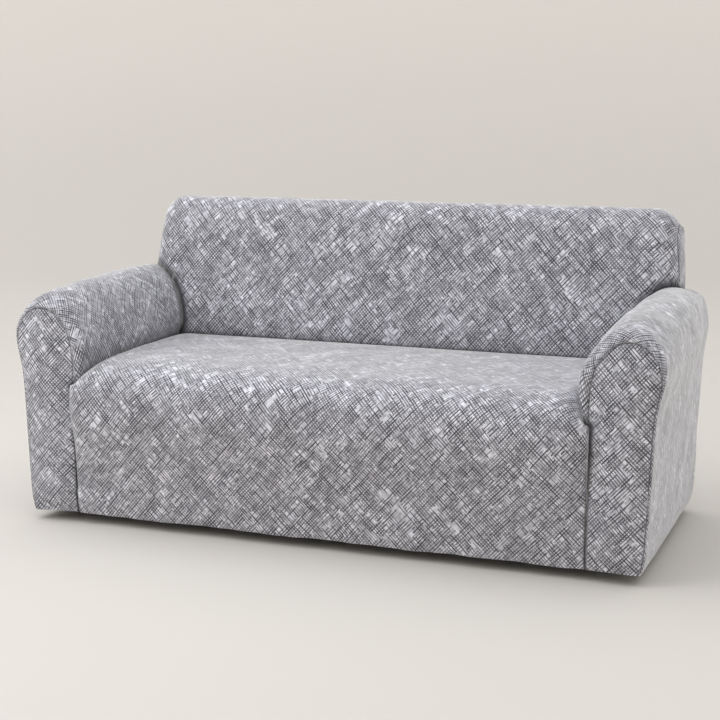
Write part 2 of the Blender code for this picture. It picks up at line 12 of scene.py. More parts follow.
import bpy
import numpy as np
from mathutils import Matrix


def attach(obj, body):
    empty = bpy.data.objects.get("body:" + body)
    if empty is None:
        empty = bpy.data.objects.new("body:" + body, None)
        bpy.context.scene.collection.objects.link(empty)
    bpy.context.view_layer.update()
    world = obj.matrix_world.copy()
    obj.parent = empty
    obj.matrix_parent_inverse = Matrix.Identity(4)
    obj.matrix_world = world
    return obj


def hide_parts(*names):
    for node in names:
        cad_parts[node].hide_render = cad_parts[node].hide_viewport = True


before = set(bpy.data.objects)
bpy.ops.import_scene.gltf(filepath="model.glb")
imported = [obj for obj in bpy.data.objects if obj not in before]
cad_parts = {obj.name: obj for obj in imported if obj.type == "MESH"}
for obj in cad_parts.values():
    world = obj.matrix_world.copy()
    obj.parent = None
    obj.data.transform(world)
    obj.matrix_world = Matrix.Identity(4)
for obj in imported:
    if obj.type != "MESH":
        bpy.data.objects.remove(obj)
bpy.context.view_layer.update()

# %% [markdown]
# ## Measures
# A cover is drawn from measures taken on the sofa, as a tailor takes them on a person: one
# section round the arm, one side view of the back, one side view of the seat. Places are
# metres on the sofa, x to the right, y to the back from the arm fronts, z up from the floor.
# At the end everything is moved so that the crest of the back is the origin.

# %% Tables of the sofa's shape
CREST = np.array([0.0, 0.765, 0.906])   # underside of the cloth at the crest of the back
CLOTH = 0.0019                          # thickness of the knit
HEM_Z = 0.031                           # height of the hem above the floor
FRONT_SEAM_X = 0.752                    # half width of the seat piece
CREASE_BACK = (0.626, 0.466)            # y and z of the crease between seat and back

ARM_ROWS = np.array([
    # round the right arm: section x and z, then x and z of the seam to the arm front
    (0.736, 0.466, 0.752, 0.466), (0.734, 0.479, 0.752, 0.476), (0.721, 0.515, 0.753, 0.5),
    (0.7275, 0.557, 0.759, 0.533), (0.745, 0.603, 0.7725, 0.571), (0.775, 0.647, 0.7985, 0.605),
    (0.812, 0.675, 0.829, 0.624), (0.85, 0.682, 0.861, 0.629), (0.886, 0.672, 0.89, 0.618),
    (0.918, 0.643, 0.914, 0.594), (0.939, 0.6, 0.9285, 0.566), (0.944, 0.553, 0.934, 0.532),
    (0.935, 0.498, 0.928, 0.493), (0.924, 0.44, 0.9175, 0.437), (0.918, 0.33, 0.912, 0.33),
    (0.9135, 0.21, 0.9075, 0.21), (0.909, 0.105, 0.903, 0.105), (0.905, 0.062, 0.899, 0.062),
    (0.8955, 0.031, 0.8895, 0.031)])
CREASE_ROWS = np.array([
    # crease between seat and arm: y, z
    (0, 0.408), (0.03, 0.419), (0.11, 0.436), (0.24, 0.447), (0.42, 0.459), CREASE_BACK])
ARM_TOP_ROWS = np.array([
    # rise of the arm's top along its length: y, rise
    (0, -0.02), (0.06, -0.012), (0.12, -0.004), (0.2, 0.001), (0.3, 0.005), (0.48, 0.01),
    (0.62, 0.01), (0.7, 0.003), (0.78, -0.009), (0.88, -0.014)])
SEAT_ROWS = np.array([
    # down the seat from the back crease to the hem: y and z in its middle, y and z of its side
    (*CREASE_BACK, *CREASE_BACK), (0.61, 0.476, 0.61, 0.4655), (0.56, 0.481, 0.56, 0.464),
    (0.42, 0.484, 0.42, 0.459), (0.24, 0.485, 0.24, 0.447), (0.105, 0.482, 0.11, 0.436),
    (0.038, 0.474, 0.05, 0.423), (-0.01, 0.456, 0.018, 0.4146), (-0.037, 0.424, 0, 0.408),
    (-0.049, 0.378, 0, 0.37), (-0.047, 0.318, 0, 0.318), (-0.033, 0.255, 0, 0.255),
    (-0.016, 0.19, 0, 0.19), (-0.005, 0.125, 0, 0.125), (0, 0.075, 0, 0.075),
    (0.008, HEM_Z, 0.008, HEM_Z)])
BACK_ROWS = np.array([
    # side view of the back, from the seat crease over the crest down to the hem: y, z
    CREASE_BACK, (0.62, 0.5), (0.624, 0.55), (0.637, 0.62), (0.652, 0.7), (0.665, 0.78),
    (0.679, 0.836), (0.7, 0.877), (0.73, 0.901), (0.765, 0.908), (0.802, 0.903), (0.836, 0.886),
    (0.854, 0.86), (0.86, 0.82), (0.848, 0.7), (0.836, 0.56), (0.822, 0.4), (0.806, 0.23),
    (0.792, 0.07), (0.781, HEM_Z)])
print("measures:", len(ARM_ROWS), "round the arm,", len(SEAT_ROWS), "down the seat,",
      len(BACK_ROWS), "round the back")

# %% [markdown]
# A table gives only a few places. A curve through them has to pass smoothly, without corners,
# because stretched cloth takes no corner that the sofa doesn't force on it.

# %% Curves through a table


def spline(rows, at):
    """Smooth curve through the rows of a table (Catmull-Rom); at counts rows, in between too."""
    at = np.clip(np.asarray(at, float), 0, len(rows) - 1)
    first = np.minimum(at.astype(int), len(rows) - 2)
    f = (at - first)[..., None]
    padded = np.vstack([2 * rows[0] - rows[1], rows, 2 * rows[-1] - rows[-2]])
    a, b, c, d = (padded[first + k] for k in range(4))
    bend = 2 * a - 5 * b + 4 * c - d + f * (3 * (b - c) + d - a)
    return b + 0.5 * f * (c - a + f * bend)


def flow(at, places, values):
    """Smooth curve through (places, values) that never overshoots: a cubic in each span, whose
    slope at a place is the harmonic mean of the slopes beside it, or flat at a peak."""
    step = np.diff(places)
    slope = np.diff(values) / step
    product = slope[:-1] * slope[1:]
    total = np.where(product > 0, slope[:-1] + slope[1:], 1)
    inner = np.where(product > 0, 2 * product / total, 0)
    slopes = np.concatenate([slope[:1], inner, slope[-1:]])
    k = np.clip(np.searchsorted(places, at, side="right") - 1, 0, len(step) - 1)
    h = step[k]
    t = np.clip((at - places[k]) / h, 0, 1)
    rise = t * t * (3 - 2 * t)
    return (values[k] * (1 - rise) + values[k + 1] * rise
            + h * t * (1 - t) * ((1 - t) * slopes[k] - t * slopes[k + 1]))


def ease(low, high, value):
    """Smooth step from 0 at low to 1 at high: 3t^2 - 2t^3."""
    t = np.clip((value - low) / (high - low), 0, 1)
    return t * t * (3 - 2 * t)


def quarter_round(t):
    """Depth of a quarter circle of radius 1, flat at t = 0 and steep at t = 1."""
    return 1 - np.sqrt(1 - np.clip(t, 0, 1) ** 2)


def plateau(marks, value):
    """Up from 0 to 1 between the first two marks, and down again between the last two."""
    return ease(*marks[:2], value) * (1 - ease(*marks[2:], value))


def waves(terms, x):
    """Sum of sine waves along x; a term is (amplitude, wavelength, phase)."""
    return sum(a * np.sin(2 * np.pi * x / length + phase) for a, length, phase in terms)


def split(stations, counts):
    """Puts counts[k] equal steps between station k and the next."""
    spans = [np.linspace(a, b, n, endpoint=False)
             for a, b, n in zip(stations[:-1], stations[1:], counts)]
    return np.concatenate([*spans, stations[-1:]])


def unit(vectors):
    """The same directions, one long."""
    return vectors / np.maximum(np.linalg.norm(vectors, axis=-1, keepdims=True), 1e-12)


def run(points):
    """Length along a line of points, from its start to each of them."""
    return np.concatenate([[0], np.cumsum(np.linalg.norm(np.diff(points, axis=0), axis=1))])


print("length down the seat:", round(run(SEAT_ROWS[:, :2])[-1], 3), "m")

# %% [markdown]
# ## The arm
# The arm is a roll: a round section carried from the front to the rear. Its front edge is
# rounded, most of all over the crown, and the section shrinks a little towards the rear. So a
# point of the arm is a function of two numbers: how far along it lies, and how far round. A
# cylinder could be bent by hand into such a roll, but then its seams would be places on a mesh.
# From a formula they are numbers, and the pieces beside the arm can be cut to them exactly.

# %% The arm as a surface
REAR_HEM_Y, REAR_LEAN = 0.789, 0.088     # rear face: y at the hem, and its lean
ARM_REAR_ROUND, ARM_FRONT_ROUND, ARM_CROWN_ROUND = 0.030, 0.012, 0.046
ARM_CROWN_WAY, ARM_CROWN_SPREAD = 0.27, 0.13
CREASE_WAY = 0.085                       # share of the way round that follows the crease
TOP_RISE_Z, LEVEL_HEM_Z = (0.50, 0.66), 0.08
SCROLL_LIMIT, SCROLL_FADE, SCROLL_FADE_Y = 0.907, 0.45, (0.45, 0.80)
ELLIPSE_STEPS = 8
TINY = 1e-3                              # step to either side for a tangent

ARM_LENGTHS = run(ARM_ROWS[:, :2])
ARM_KNOTS = ARM_LENGTHS / ARM_LENGTHS[-1]


def arm_section(way):
    """Section and front seam at a share of the way round the arm."""
    return spline(ARM_ROWS, np.interp(way, ARM_KNOTS, np.arange(len(ARM_ROWS))))


def rear_y(z):
    """Rear face of the sofa at height z: a plane that leans back."""
    return REAR_HEM_Y + REAR_LEAN * (z - HEM_Z)


def front_radius(way):
    """Radius of the rounded front edge: largest over the crown, a bell curve round the arm."""
    near_crown = np.exp(-((way - ARM_CROWN_WAY) / ARM_CROWN_SPREAD) ** 2)
    return ARM_FRONT_ROUND + ARM_CROWN_ROUND * near_crown


def arm_start(along, way):
    """What both functions below start from: way, section x and z, seam x and z, y, rear y."""
    along, way = np.broadcast_arrays(np.asarray(along, float), np.asarray(way, float))
    x, z, seam_x, seam_z = np.moveaxis(arm_section(way), -1, 0)
    rear = rear_y(z)
    return way, x, z, seam_x, seam_z, along * rear, rear


def arm_form(along, way):
    """Point of the right arm, along 0..1 from front to rear and way 0..1 round it: the section
    carried along y, turned in by a quarter circle at the front seam and at the rear corner."""
    way, x, z, seam_x, seam_z, y, rear = arm_start(along, way)
    ahead, behind = arm_section(np.minimum(way + TINY, 1)), arm_section(np.maximum(way - TINY, 0))
    tangent = unit((ahead - behind)[..., :2])

    above_hem = ease(HEM_Z, LEVEL_HEM_Z, z)
    z = z + flow(y, *ARM_TOP_ROWS.T) * ease(*TOP_RISE_Z, z)
    x = x - SCROLL_FADE * np.clip(x - SCROLL_LIMIT, 0, None) * ease(*SCROLL_FADE_Y, y)

    front = quarter_round(1 - y / front_radius(way))
    x = x + (seam_x - x) * front
    z = z + (seam_z - z) * front

    inset = ARM_REAR_ROUND * quarter_round((y - rear) / ARM_REAR_ROUND + 1)
    x = x + tangent[..., 1] * inset
    z = z - tangent[..., 0] * inset * above_hem

    crease = flow(y, *CREASE_ROWS.T) - CREASE_BACK[1]
    z = z + crease * np.clip(1 - way / CREASE_WAY, 0, 1)
    return np.stack([x, y, z], -1)


def arm_cut_place(along, way):
    """Places on the flat cut piece: the length round the section, and the length from the front
    seam, which is y plus what the rounded edges add to it: a quarter ellipse at the front,
    summed over ELLIPSE_STEPS parts, and a quarter circle at the rear."""
    way, x, z, seam_x, seam_z, y, rear = arm_start(along, way)
    radius, inset = front_radius(way), np.hypot(seam_x - x, seam_z - z)
    turn = np.arccos(np.clip(1 - y / radius, 0, 1))
    angles = turn[..., None] * (np.arange(ELLIPSE_STEPS) + 0.5) / ELLIPSE_STEPS
    arc = turn * np.hypot(radius[..., None] * np.sin(angles),
                          inset[..., None] * np.cos(angles)).mean(-1)
    past = np.clip((y - rear) / ARM_REAR_ROUND + 1, 0, 1)
    length = arc + np.maximum(y - radius, 0) + ARM_REAR_ROUND * (np.arcsin(past) - past)
    return np.stack([way * ARM_LENGTHS[-1], length], -1)


print("round the arm:", round(ARM_LENGTHS[-1], 3), "m")

# %% [markdown]
# ## The back
# The back is a cushion shape: a side view carried across, rolled in where it comes to the
# narrow gusset at each end. The gusset seam is simply the line where that roll stops. A box with
# bevelled edges has such a roll too, but one of the same radius all round, where the real back
# is flat below and round on top.

# %% The back as a surface
BACK_ROUND, BACK_ROLL = 0.080, 0.074
BACK_TOP_HALF, BACK_TOP_Z = 0.830, 0.85
BACK_SPLAY, BACK_SPLAY_Z = 0.10, 0.60    # how fast the back widens downwards, and how far down
BACK_UNEVEN = {-1: 0.005, 1: 0.010}      # the two ends of a real back are never quite alike


def back_profile(row):
    """Point of the back's side view and its outward normal, both as y, z."""
    tangent = unit(spline(BACK_ROWS, row + TINY) - spline(BACK_ROWS, row - TINY))
    return spline(BACK_ROWS, row), np.stack([-tangent[..., 1], tangent[..., 0]], -1)


def back_half_width(z, side):
    """Half width of the back at its gusset seam: it widens towards the arms."""
    splay = BACK_SPLAY * (BACK_TOP_Z - np.clip(z, BACK_SPLAY_Z, BACK_TOP_Z))
    return BACK_TOP_HALF + splay + BACK_UNEVEN[side]


def back_roll(x, z, side):
    """How far x lies within BACK_ROLL of the gusset seam, where the back rolls in."""
    return np.clip(x - back_half_width(z, side) + BACK_ROLL, 0, BACK_ROLL)


def back_form(x, row, side):
    """Point of the back at distance x from the middle: its side view, sunk along the normal by
    a circle of radius BACK_ROUND within BACK_ROLL of the seam."""
    profile, normal = back_profile(row)
    roll = back_roll(x, profile[..., 1], side)
    depth = BACK_ROUND * quarter_round(roll / BACK_ROUND)
    yz = profile - normal * depth[..., None]
    return np.stack([x + 0 * yz[..., 0], yz[..., 0], yz[..., 1]], -1)


def gusset_seam(row, side):
    """Point of the gusset seam at a row of the back."""
    return back_form(back_half_width(back_profile(row)[0][..., 1], side), row, side)


LOOK_UP_POINTS = 400                     # in a curve that is only looked up
PROFILE_ROWS = np.linspace(0, len(BACK_ROWS) - 1, 2 * LOOK_UP_POINTS)
PROFILE = spline(BACK_ROWS, PROFILE_ROWS)
PROFILE_LENGTHS = run(PROFILE)


def back_cut_place(x, row, side):
    """Places on the flat cut piece: x plus what the rolled end adds, and the length up the
    side view."""
    roll = back_roll(x, back_profile(row)[0][..., 1], side)
    added = BACK_ROUND * np.arcsin(roll / BACK_ROUND) - roll
    return np.stack([side * (x + added), np.interp(row, PROFILE_ROWS, PROFILE_LENGTHS)], -1)


print("the back is", round(2 * float(back_half_width(BACK_TOP_Z, 1)), 3), "m wide at its top")

# %% [markdown]
# ## Where the pieces meet
# Sewn pieces share their edges. So the seams come first, as rows of points, and each piece is
# then stretched between its seams. The lines of the grid stand close together where the cloth
# turns a corner, and further apart where it lies flat.

# %% Lines of the grids
ACROSS_LINES, ACROSS_CROWDING = 104, 1.32   # from the middle of a piece to its side
ACROSS = 1 - (1 - np.linspace(0, 1, ACROSS_LINES + 1)) ** ACROSS_CROWDING
DECK_LINES = split((0, 0.5, 1, 2, 3, 4, 5, 6, 6.6, 7.2, 7.6, 7.85, 8),
                   (6, 3, 7, 17, 22, 17, 9, 5, 5, 4, 3, 2))
APRON_LINES = split((8, 9, 10, 11, 12, 13, 14, 14.5, 14.72, 15), (7, 9, 9, 9, 9, 7, 4, 7, 6))
RIM_LINES = split((0, 1, 2.1, 3.4, 4.7, *range(6, 18), 17.38, 17.7, 18),
                  (6, 7, 8, 8, 13, 12, 12, 12, 8, 8, 8, 9, 14, 15, 14, 7, 3, 7, 5))
SCROLL_ROWS = (4.7, 7, 9)               # inner shoulder, crown and outer shoulder
INNER_SHOULDER, CROWN, OUTER_SHOULDER = (int(abs(RIM_LINES - row).argmin())
                                         for row in SCROLL_ROWS)


def crowd(steps, *places):
    """Lines from 0 to 1 that stand closer together as the given places do."""
    marks = np.linspace(0, 1, len(places))
    return np.interp(np.linspace(0, 1, steps + 1), marks, places)


STRIP = crowd(CROWN - INNER_SHOULDER, 0, 0.4, 0.68, 0.87, 1)
GUSSET_STEPS = 5
GUSSET_FRONT_LINES = split((0, 0.22, 0.42, 0.6, 0.74, 0.85, 0.93, 1), [GUSSET_STEPS] * 7)
REAR_TOP_MARKS = (11.0, 11.6, 12.1, 12.6, 13.0, 13.4)
TOP_SEAM = 3 * GUSSET_STEPS
DEPTH_STEPS = 20
CREST_LINES = np.linspace(9.0, 11.0, DEPTH_STEPS + 1)
ARM_REAR_LINES = crowd(DEPTH_STEPS, 0, 0.35, 0.65, 0.88, 1)
print("lines:", len(DECK_LINES), "on the deck,", len(APRON_LINES), "down the front,",
      len(RIM_LINES), "round the arm")

# %% The seams of one side
REAR_SEAM_FALL = 9                       # how soon the rear seam runs out to the rear edge
HEM_BORDER = 0.86                        # along, where the grid's rear part starts at the hem
FRONT_CORNER, REAR_CORNER = (0.83, 0.29, 3.9), (0.95, 0.29, 14.2)   # first guesses
ROUNDS = 12                              # of mending the guess
LOWER_BACK_ROWS = np.linspace(0, 6, LOOK_UP_POINTS)


def seam_corner(side, start):
    """Along, way and back row where the gusset seam meets the arm, by Newton's method."""
    def miss(place):
        return arm_form(place[0], place[1]) - gusset_seam(place[2], side)

    place, step = np.array(start, float), 1e-5
    for _ in range(ROUNDS):
        slope = [(miss(place + step * axis) - miss(place)) / step for axis in np.eye(3)]
        place = place - np.linalg.solve(np.stack(slope, 1), miss(place))
    return place


def arm_meets_back(way, side):
    """Along of the arm and row of the back where the two surfaces cross, by repeated look-up."""
    rear = rear_y(arm_section(way)[..., 1])
    y = np.full(len(way), CREASE_BACK[0])
    for _ in range(ROUNDS):
        point = arm_form(y / rear, way)
        heights = back_form(point[:, :1], LOWER_BACK_ROWS, side)[..., 2]
        row = np.array([np.interp(z, column, LOWER_BACK_ROWS)
                        for z, column in zip(point[:, 2], heights)])
        y = back_form(point[:, 0], row, side)[..., 1]
    return y / rear, row


class Seams:
    """The arm piece of one side and the seams that it shares, all as right-hand forms."""

    def __init__(self, side):
        front, rear = seam_corner(side, FRONT_CORNER), seam_corner(side, REAR_CORNER)
        rim = np.interp(RIM_LINES, np.arange(len(ARM_ROWS)), ARM_KNOTS)
        inner = rim[:CROWN + 1] / rim[CROWN]
        outer = (rim[CROWN:] - rim[CROWN]) / (1 - rim[CROWN])

        crease_y = np.interp(DECK_LINES[::-1], np.arange(len(SEAT_ROWS)), SEAT_ROWS[:, 2])
        forward = crease_y / CREASE_BACK[0]
        along, self.junction_row = arm_meets_back(front[1] * inner, side)
        along[0], self.junction_row[0] = CREASE_BACK[0] / rear_y(CREASE_BACK[1]), 0
        along[-1], self.junction_row[-1] = front[0], front[2]
        border = np.concatenate([along, front[0] + (HEM_BORDER - front[0]) * outer[1:]])
        rear_along = np.concatenate([along[:-1],
                                     1 - (1 - rear[0]) * (1 - outer) ** REAR_SEAM_FALL])

        rearward = ARM_REAR_LINES[1:, None]
        crown_way = front[1] + (rear[1] - front[1]) * ARM_REAR_LINES[:, None]
        rear_way = np.concatenate([crown_way * inner[:-1],
                                   crown_way + (1 - crown_way) * outer], axis=1)
        along = np.concatenate([forward[:, None] * border,
                                border + (rear_along - border) * rearward])
        way = np.concatenate([rim + (rear_way[0] - rim) * forward[:, None], rear_way[1:]])
        self.arm = arm_form(along, way)
        self.arm_place = arm_cut_place(along, way)

        self.last_forward = len(forward) - 1
        self.crease = self.arm[self.last_forward::-1, 0]
        self.rim = self.arm[0]
        self.foot = self.arm[self.last_forward:, CROWN]
        self.junction = self.arm[self.last_forward, :CROWN + 1]
        self.strip_width = self.junction[-1, 0] - self.junction[INNER_SHOULDER, 0]
        self.arm_rear = self.arm[-1, CROWN:]
        self.gusset_front_row = front[2] + (CREST_LINES[0] - front[2]) * GUSSET_FRONT_LINES
        marks = (*REAR_TOP_MARKS, 0.5 * (REAR_TOP_MARKS[-1] + rear[2]), rear[2])
        self.gusset_rear_row = split(marks, [GUSSET_STEPS] * 7)
        self.gusset_front = gusset_seam(self.gusset_front_row, side)
        self.gusset_top = gusset_seam(CREST_LINES, side)
        self.gusset_rear = gusset_seam(self.gusset_rear_row, side)


SEAMS = {side: Seams(side) for side in (-1, 1)}
print("gusset seam meets the right arm at", (SEAMS[1].gusset_front[0] - CREST).round(3).tolist())

# %% [markdown]
# ## Cutting the pieces
# Each function below gives one piece as a grid of points, and a mask that says which faces of
# the grid are cloth, because the arm and the two back pieces are cut round a corner. A piece
# stops a hair short of its seam, where the real cloth turns in to be sewn. The cloth could also
# be dropped on a sofa and left to settle in a simulation, but a tight cover takes the shape of
# the sofa, and a grid between the seams gives that at once.

# %% Helpers for a piece
SEAM_GAP, CORNER_GAP, BUTT_GAP, SHOULDER_GAP = 0.00022, 0.0006, 0.0056, 0.0070


def mirror(points, side):
    """The same points on the left (-1) or right (1) side."""
    return points * np.array([side, 1, 1])


def both_halves(half):
    """Whole piece and its mask from the function that gives one half."""
    (left, left_cloth), (right, right_cloth) = half(-1), half(1)
    grid = np.concatenate([mirror(left, -1)[:, :0:-1], right], axis=1)
    return grid, np.concatenate([left_cloth[:, ::-1], right_cloth], axis=1)


def all_cloth(grid):
    """Mark every face of a grid as cloth."""
    return np.ones((grid.shape[0] - 1, grid.shape[1] - 1), bool)


def pull(grid, rows, columns, way, distance):
    """Draw an edge back from its seam. The edge is part of one row or column, whose number is
    given, and way is 1 or -1 to the line of points beside it."""
    inner = (rows, columns + way) if isinstance(rows, slice) else (rows + way, columns)
    grid[rows, columns] += unit(grid[inner] - grid[rows, columns]) * distance


def pull_sides(grid, *distances):
    """Draw back the first row, the last row, the first column and the last column."""
    sides = (0, np.s_[:], 1), (-1, np.s_[:], -1), (np.s_[:], 0, 1), (np.s_[:], -1, -1)
    for side, distance in zip(sides, distances):
        pull(grid, *side, distance)


def ease_back(lines, distance):
    """Draw an edge back by a distance that is wide for the grid: the first line moves all the
    way towards the next one, and each line after it a little less, down to none."""
    share = np.linspace(1, 0, len(lines))[:-1, None, None]
    return lines[:-1] + unit(lines[1:] - lines[:-1]) * distance * share


def patch(bottom, top, left, right):
    """Coons patch between four edges that share their corners: rows from bottom to top."""
    u = np.linspace(0, 1, len(bottom))[None, :, None]
    v = np.linspace(0, 1, len(left))[:, None, None]
    ruled = (1 - v) * bottom[None] + v * top[None] + (1 - u) * left[:, None] + u * right[:, None]
    corners = ((1 - v) * ((1 - u) * bottom[0] + u * bottom[-1])
               + v * ((1 - u) * top[0] + u * top[-1]))
    return ruled - corners


def shares(grid):
    """How far each point lies along the columns and along the rows, 0 to 1."""
    return np.linspace(0, 1, grid.shape[1])[None, :], np.linspace(0, 1, grid.shape[0])[:, None]


print("a seam leaves", 2000 * CORNER_GAP, "mm open at a corner")

# %% [markdown]
# ### The seat
# The cloth of the seat comes out of the crease under the back, runs forward over the cushion,
# rounds its front edge and falls to the hem. It is lowest at the seams with the arms, so each
# row is the middle's place sunk towards the seam.

# %% Seat: deck and front in one piece
SEAT_ROLL, SEAT_ROLL_POWER = 0.056, 1.7
SEAT_SPREAD, SEAT_SPREAD_AT = 0.010, 0.012
SEAT_PUFF_ROWS, SEAT_SPREAD_ROWS, HEM_ROWS = (2, 7, 9, 13), (6.2, 7.6, 9.5, 11.5), (13, 15)
SEAT_WAVES, SEAT_WAVE_LAG = ((0.0032, 0.247, 0.6), (0.0024, 0.391, 2.1)), 0.09
HEM_WAVES = ((0.0016, 0.310, 1.1), (0.0011, 0.173, 0.2))


def apron_edge():
    """Seam between the seat's front and the arm front, downwards."""
    rows = np.arange(len(SEAT_ROWS))
    y, z = (flow(APRON_LINES, rows, SEAT_ROWS[:, k]) for k in (2, 3))
    return np.stack([np.full(len(y), FRONT_SEAM_X), y, z], -1)


def seat_half(side):
    """Rows from the back crease to the hem: the side view of the seat carried across, with a
    superellipse of power SEAT_ROLL_POWER down to the side seam. The cushion's front corner
    swells over that seam by SEAT_SPREAD x t exp(1 - t), t = distance / SEAT_SPREAD_AT."""
    lines = np.concatenate([DECK_LINES, APRON_LINES[1:]])[:, None]
    middle_y, middle_z = np.moveaxis(spline(SEAT_ROWS, lines)[..., :2], -1, 0)
    edge_x, edge_y, edge_z = np.concatenate([SEAMS[side].crease, apron_edge()[1:]]).T[..., None]
    x = ACROSS * edge_x
    roll = np.clip((x - edge_x + SEAT_ROLL) / SEAT_ROLL, 0, 1)
    full = (1 - roll ** SEAT_ROLL_POWER) ** (1 / SEAT_ROLL_POWER)
    puff, low = plateau(SEAT_PUFF_ROWS, lines) * full, ease(*HEM_ROWS, lines) * full
    y = edge_y + (middle_y - edge_y) * full
    z = edge_z + (middle_z - edge_z) * full
    y = y + waves(SEAT_WAVES, side * x) * puff + waves(HEM_WAVES, side * x) * low
    z = z + waves(SEAT_WAVES, side * x + SEAT_WAVE_LAG) * puff
    away = (edge_x - x) / SEAT_SPREAD_AT
    x = x + SEAT_SPREAD * plateau(SEAT_SPREAD_ROWS, lines) * away * np.exp(1 - away)
    grid = np.stack([x, y, z], -1)
    pull_sides(grid, SEAM_GAP, 0, 0, SEAM_GAP)
    return grid, all_cloth(grid)


# %% [markdown]
# ### The back, before and behind
# The front of the back rises from the seat, is cut out round both arms and runs over the crest,
# where a straight seam joins it to the rear. The rear falls to the hem between two rolled
# corners, which fade out below the arms, and spreads there to the rear corners of the sofa.

# %% Inside back, over the crest to the seam behind it
LOW_ROW_POWER, EDGE_ROW_POWER = 0.92, 6


def across_back(right, width, lean=1.0):
    """Places x of the lines in a row of the back: over the middle, then over the roll, which is
    width wide and ends at right. At lean 0 those of the middle stand as in the seat, and at
    lean 1 almost evenly, by a power of their number."""
    even = np.linspace(0, 1, len(ACROSS)) ** LOW_ROW_POWER
    middle = (ACROSS + (even - ACROSS) * lean) * (right - width)
    return np.concatenate([middle, right - width + width * STRIP[1:]], axis=-1)


def inside_back_half(side):
    """Rows upwards: first along the line where the arm meets the back, then up the roll."""
    seams = SEAMS[side]
    low, inner = INNER_SHOULDER, len(ACROSS) - 1
    low_x = across_back(seams.junction[:low + 1, :1], 0, np.linspace(0, 1, low + 1)[:, None])
    low_row = seams.junction_row[:low + 1, None] + 0 * low_x
    low_x[-1, inner + 1:] = seams.junction[low + 1:, 0]
    low_row[-1, inner + 1:] = seams.junction_row[low + 1:]

    start = seams.junction_row[low]
    rise = start + (CREST_LINES[0] - start) * GUSSET_FRONT_LINES
    over = np.concatenate([CREST_LINES[1:], seams.gusset_rear_row[1:TOP_SEAM + 1]])
    middle_row = np.concatenate([rise[1:], over])[:, None]
    edge_row = np.concatenate([seams.gusset_front_row[1:], over])[:, None]
    right = gusset_seam(edge_row, side)[..., 0]
    high_x = across_back(right, seams.strip_width)
    high_row = middle_row + (edge_row - middle_row) * (high_x / right) ** EDGE_ROW_POWER
    x, row = np.concatenate([low_x, high_x]), np.concatenate([low_row, high_row])
    grid = back_form(x, row, side)
    seams.back_place = back_cut_place(x, row, side)

    pull(grid, 0, np.s_[:inner + 1], 1, SEAM_GAP)
    pull(grid, np.s_[:low + 1], inner, -1, SEAM_GAP)
    pull(grid, low, np.s_[inner:], 1, SEAM_GAP)
    pull(grid, np.s_[low:], -1, -1, CORNER_GAP)
    pull(grid, -1, np.s_[:], -1, CORNER_GAP)
    cloth = all_cloth(grid)
    cloth[:low, inner:] = False
    return grid, cloth


# %% Outside back, from the top seam to the hem
LEVEL_DROP, SHOULDER_LINES, FACE_ROW = 0.40, 12, 13
FACE_ROWS = np.linspace(FACE_ROW, len(BACK_ROWS) - 1, LOOK_UP_POINTS)
REAR_FACE = spline(BACK_ROWS, FACE_ROWS)[::-1]   # y and z, upwards


def outside_back_half(side):
    """Rows downwards: the rear face, whose rolled corner fades out below the arm."""
    seams = SEAMS[side]
    x = across_back(seams.gusset_rear[TOP_SEAM:, :1], seams.strip_width)
    upper = back_form(x, seams.gusset_rear_row[TOP_SEAM:, None], side)
    corner = upper[-1, -1]

    edge = seams.arm_rear[OUTER_SHOULDER - CROWN:]
    face_y = np.interp(edge[:, 2], *REAR_FACE.T[::-1])
    corner_depth = np.interp(corner[2], *REAR_FACE.T[::-1]) - corner[1]
    depth = corner_depth * (1 - ease(0, LEVEL_DROP, corner[2] - edge[:, 2]))
    border = np.stack([edge[:, 0] * corner[0] / edge[0, 0], face_y - depth, edge[:, 2]], -1)
    border[0] = corner
    x = across_back(border[:, :1], seams.strip_width)
    roll = np.clip(x - border[:, :1] + BACK_ROLL, 0, BACK_ROLL) / BACK_ROUND
    share = quarter_round(roll) / quarter_round(BACK_ROLL / BACK_ROUND)
    y = face_y[:, None] + (border[:, 1] - face_y)[:, None] * share
    lower = np.stack([x, y, border[:, 2:] + 0 * x], -1)

    top = seams.arm_rear[:OUTER_SHOULDER - CROWN + 1]
    hem = border[-1] + (edge[-1] - border[-1]) * np.linspace(0, 1, len(top))[:, None]
    wing = patch(top, hem, border, edge)[:, 1:]
    middle = np.concatenate([upper, lower[1:]])
    spare = np.repeat(upper[:-1, -1:], wing.shape[1], axis=1)
    grid = np.concatenate([middle, np.concatenate([spare, wing])], axis=1)

    high, inner = len(upper) - 1, middle.shape[1] - 1
    pull(grid, 0, np.s_[:inner + 1], 1, CORNER_GAP)
    pull(grid, np.s_[:high + 1], inner, -1, CORNER_GAP)
    grid[high:high + SHOULDER_LINES, inner:] = ease_back(
        grid[high:high + SHOULDER_LINES + 1, inner:], SHOULDER_GAP)
    columns = grid[high:, inner:].swapaxes(0, 1)[::-1]
    columns[:-1] = ease_back(columns, BUTT_GAP)
    cloth = all_cloth(grid)
    cloth[:high, inner:] = False
    return grid, cloth


# %% [markdown]
# ### The sides
# A gusset closes the side of the back above the arm. The arm piece needs only its gaps and its
# mask, because its grid is there already. The arm front is a flat piece between a straight seam,
# a scroll and the hem, and the padding behind it swells it a little.

# %% Gussets, arm pieces and arm fronts
GUSSET_BULGE, FRONT_CROWN, FRONT_CROWN_POWER = 0.009, 0.015, 1.5
FRONT_CROWN_BAND = (0, 0.25, 0.8, 1)   # up the front, as shares of its height


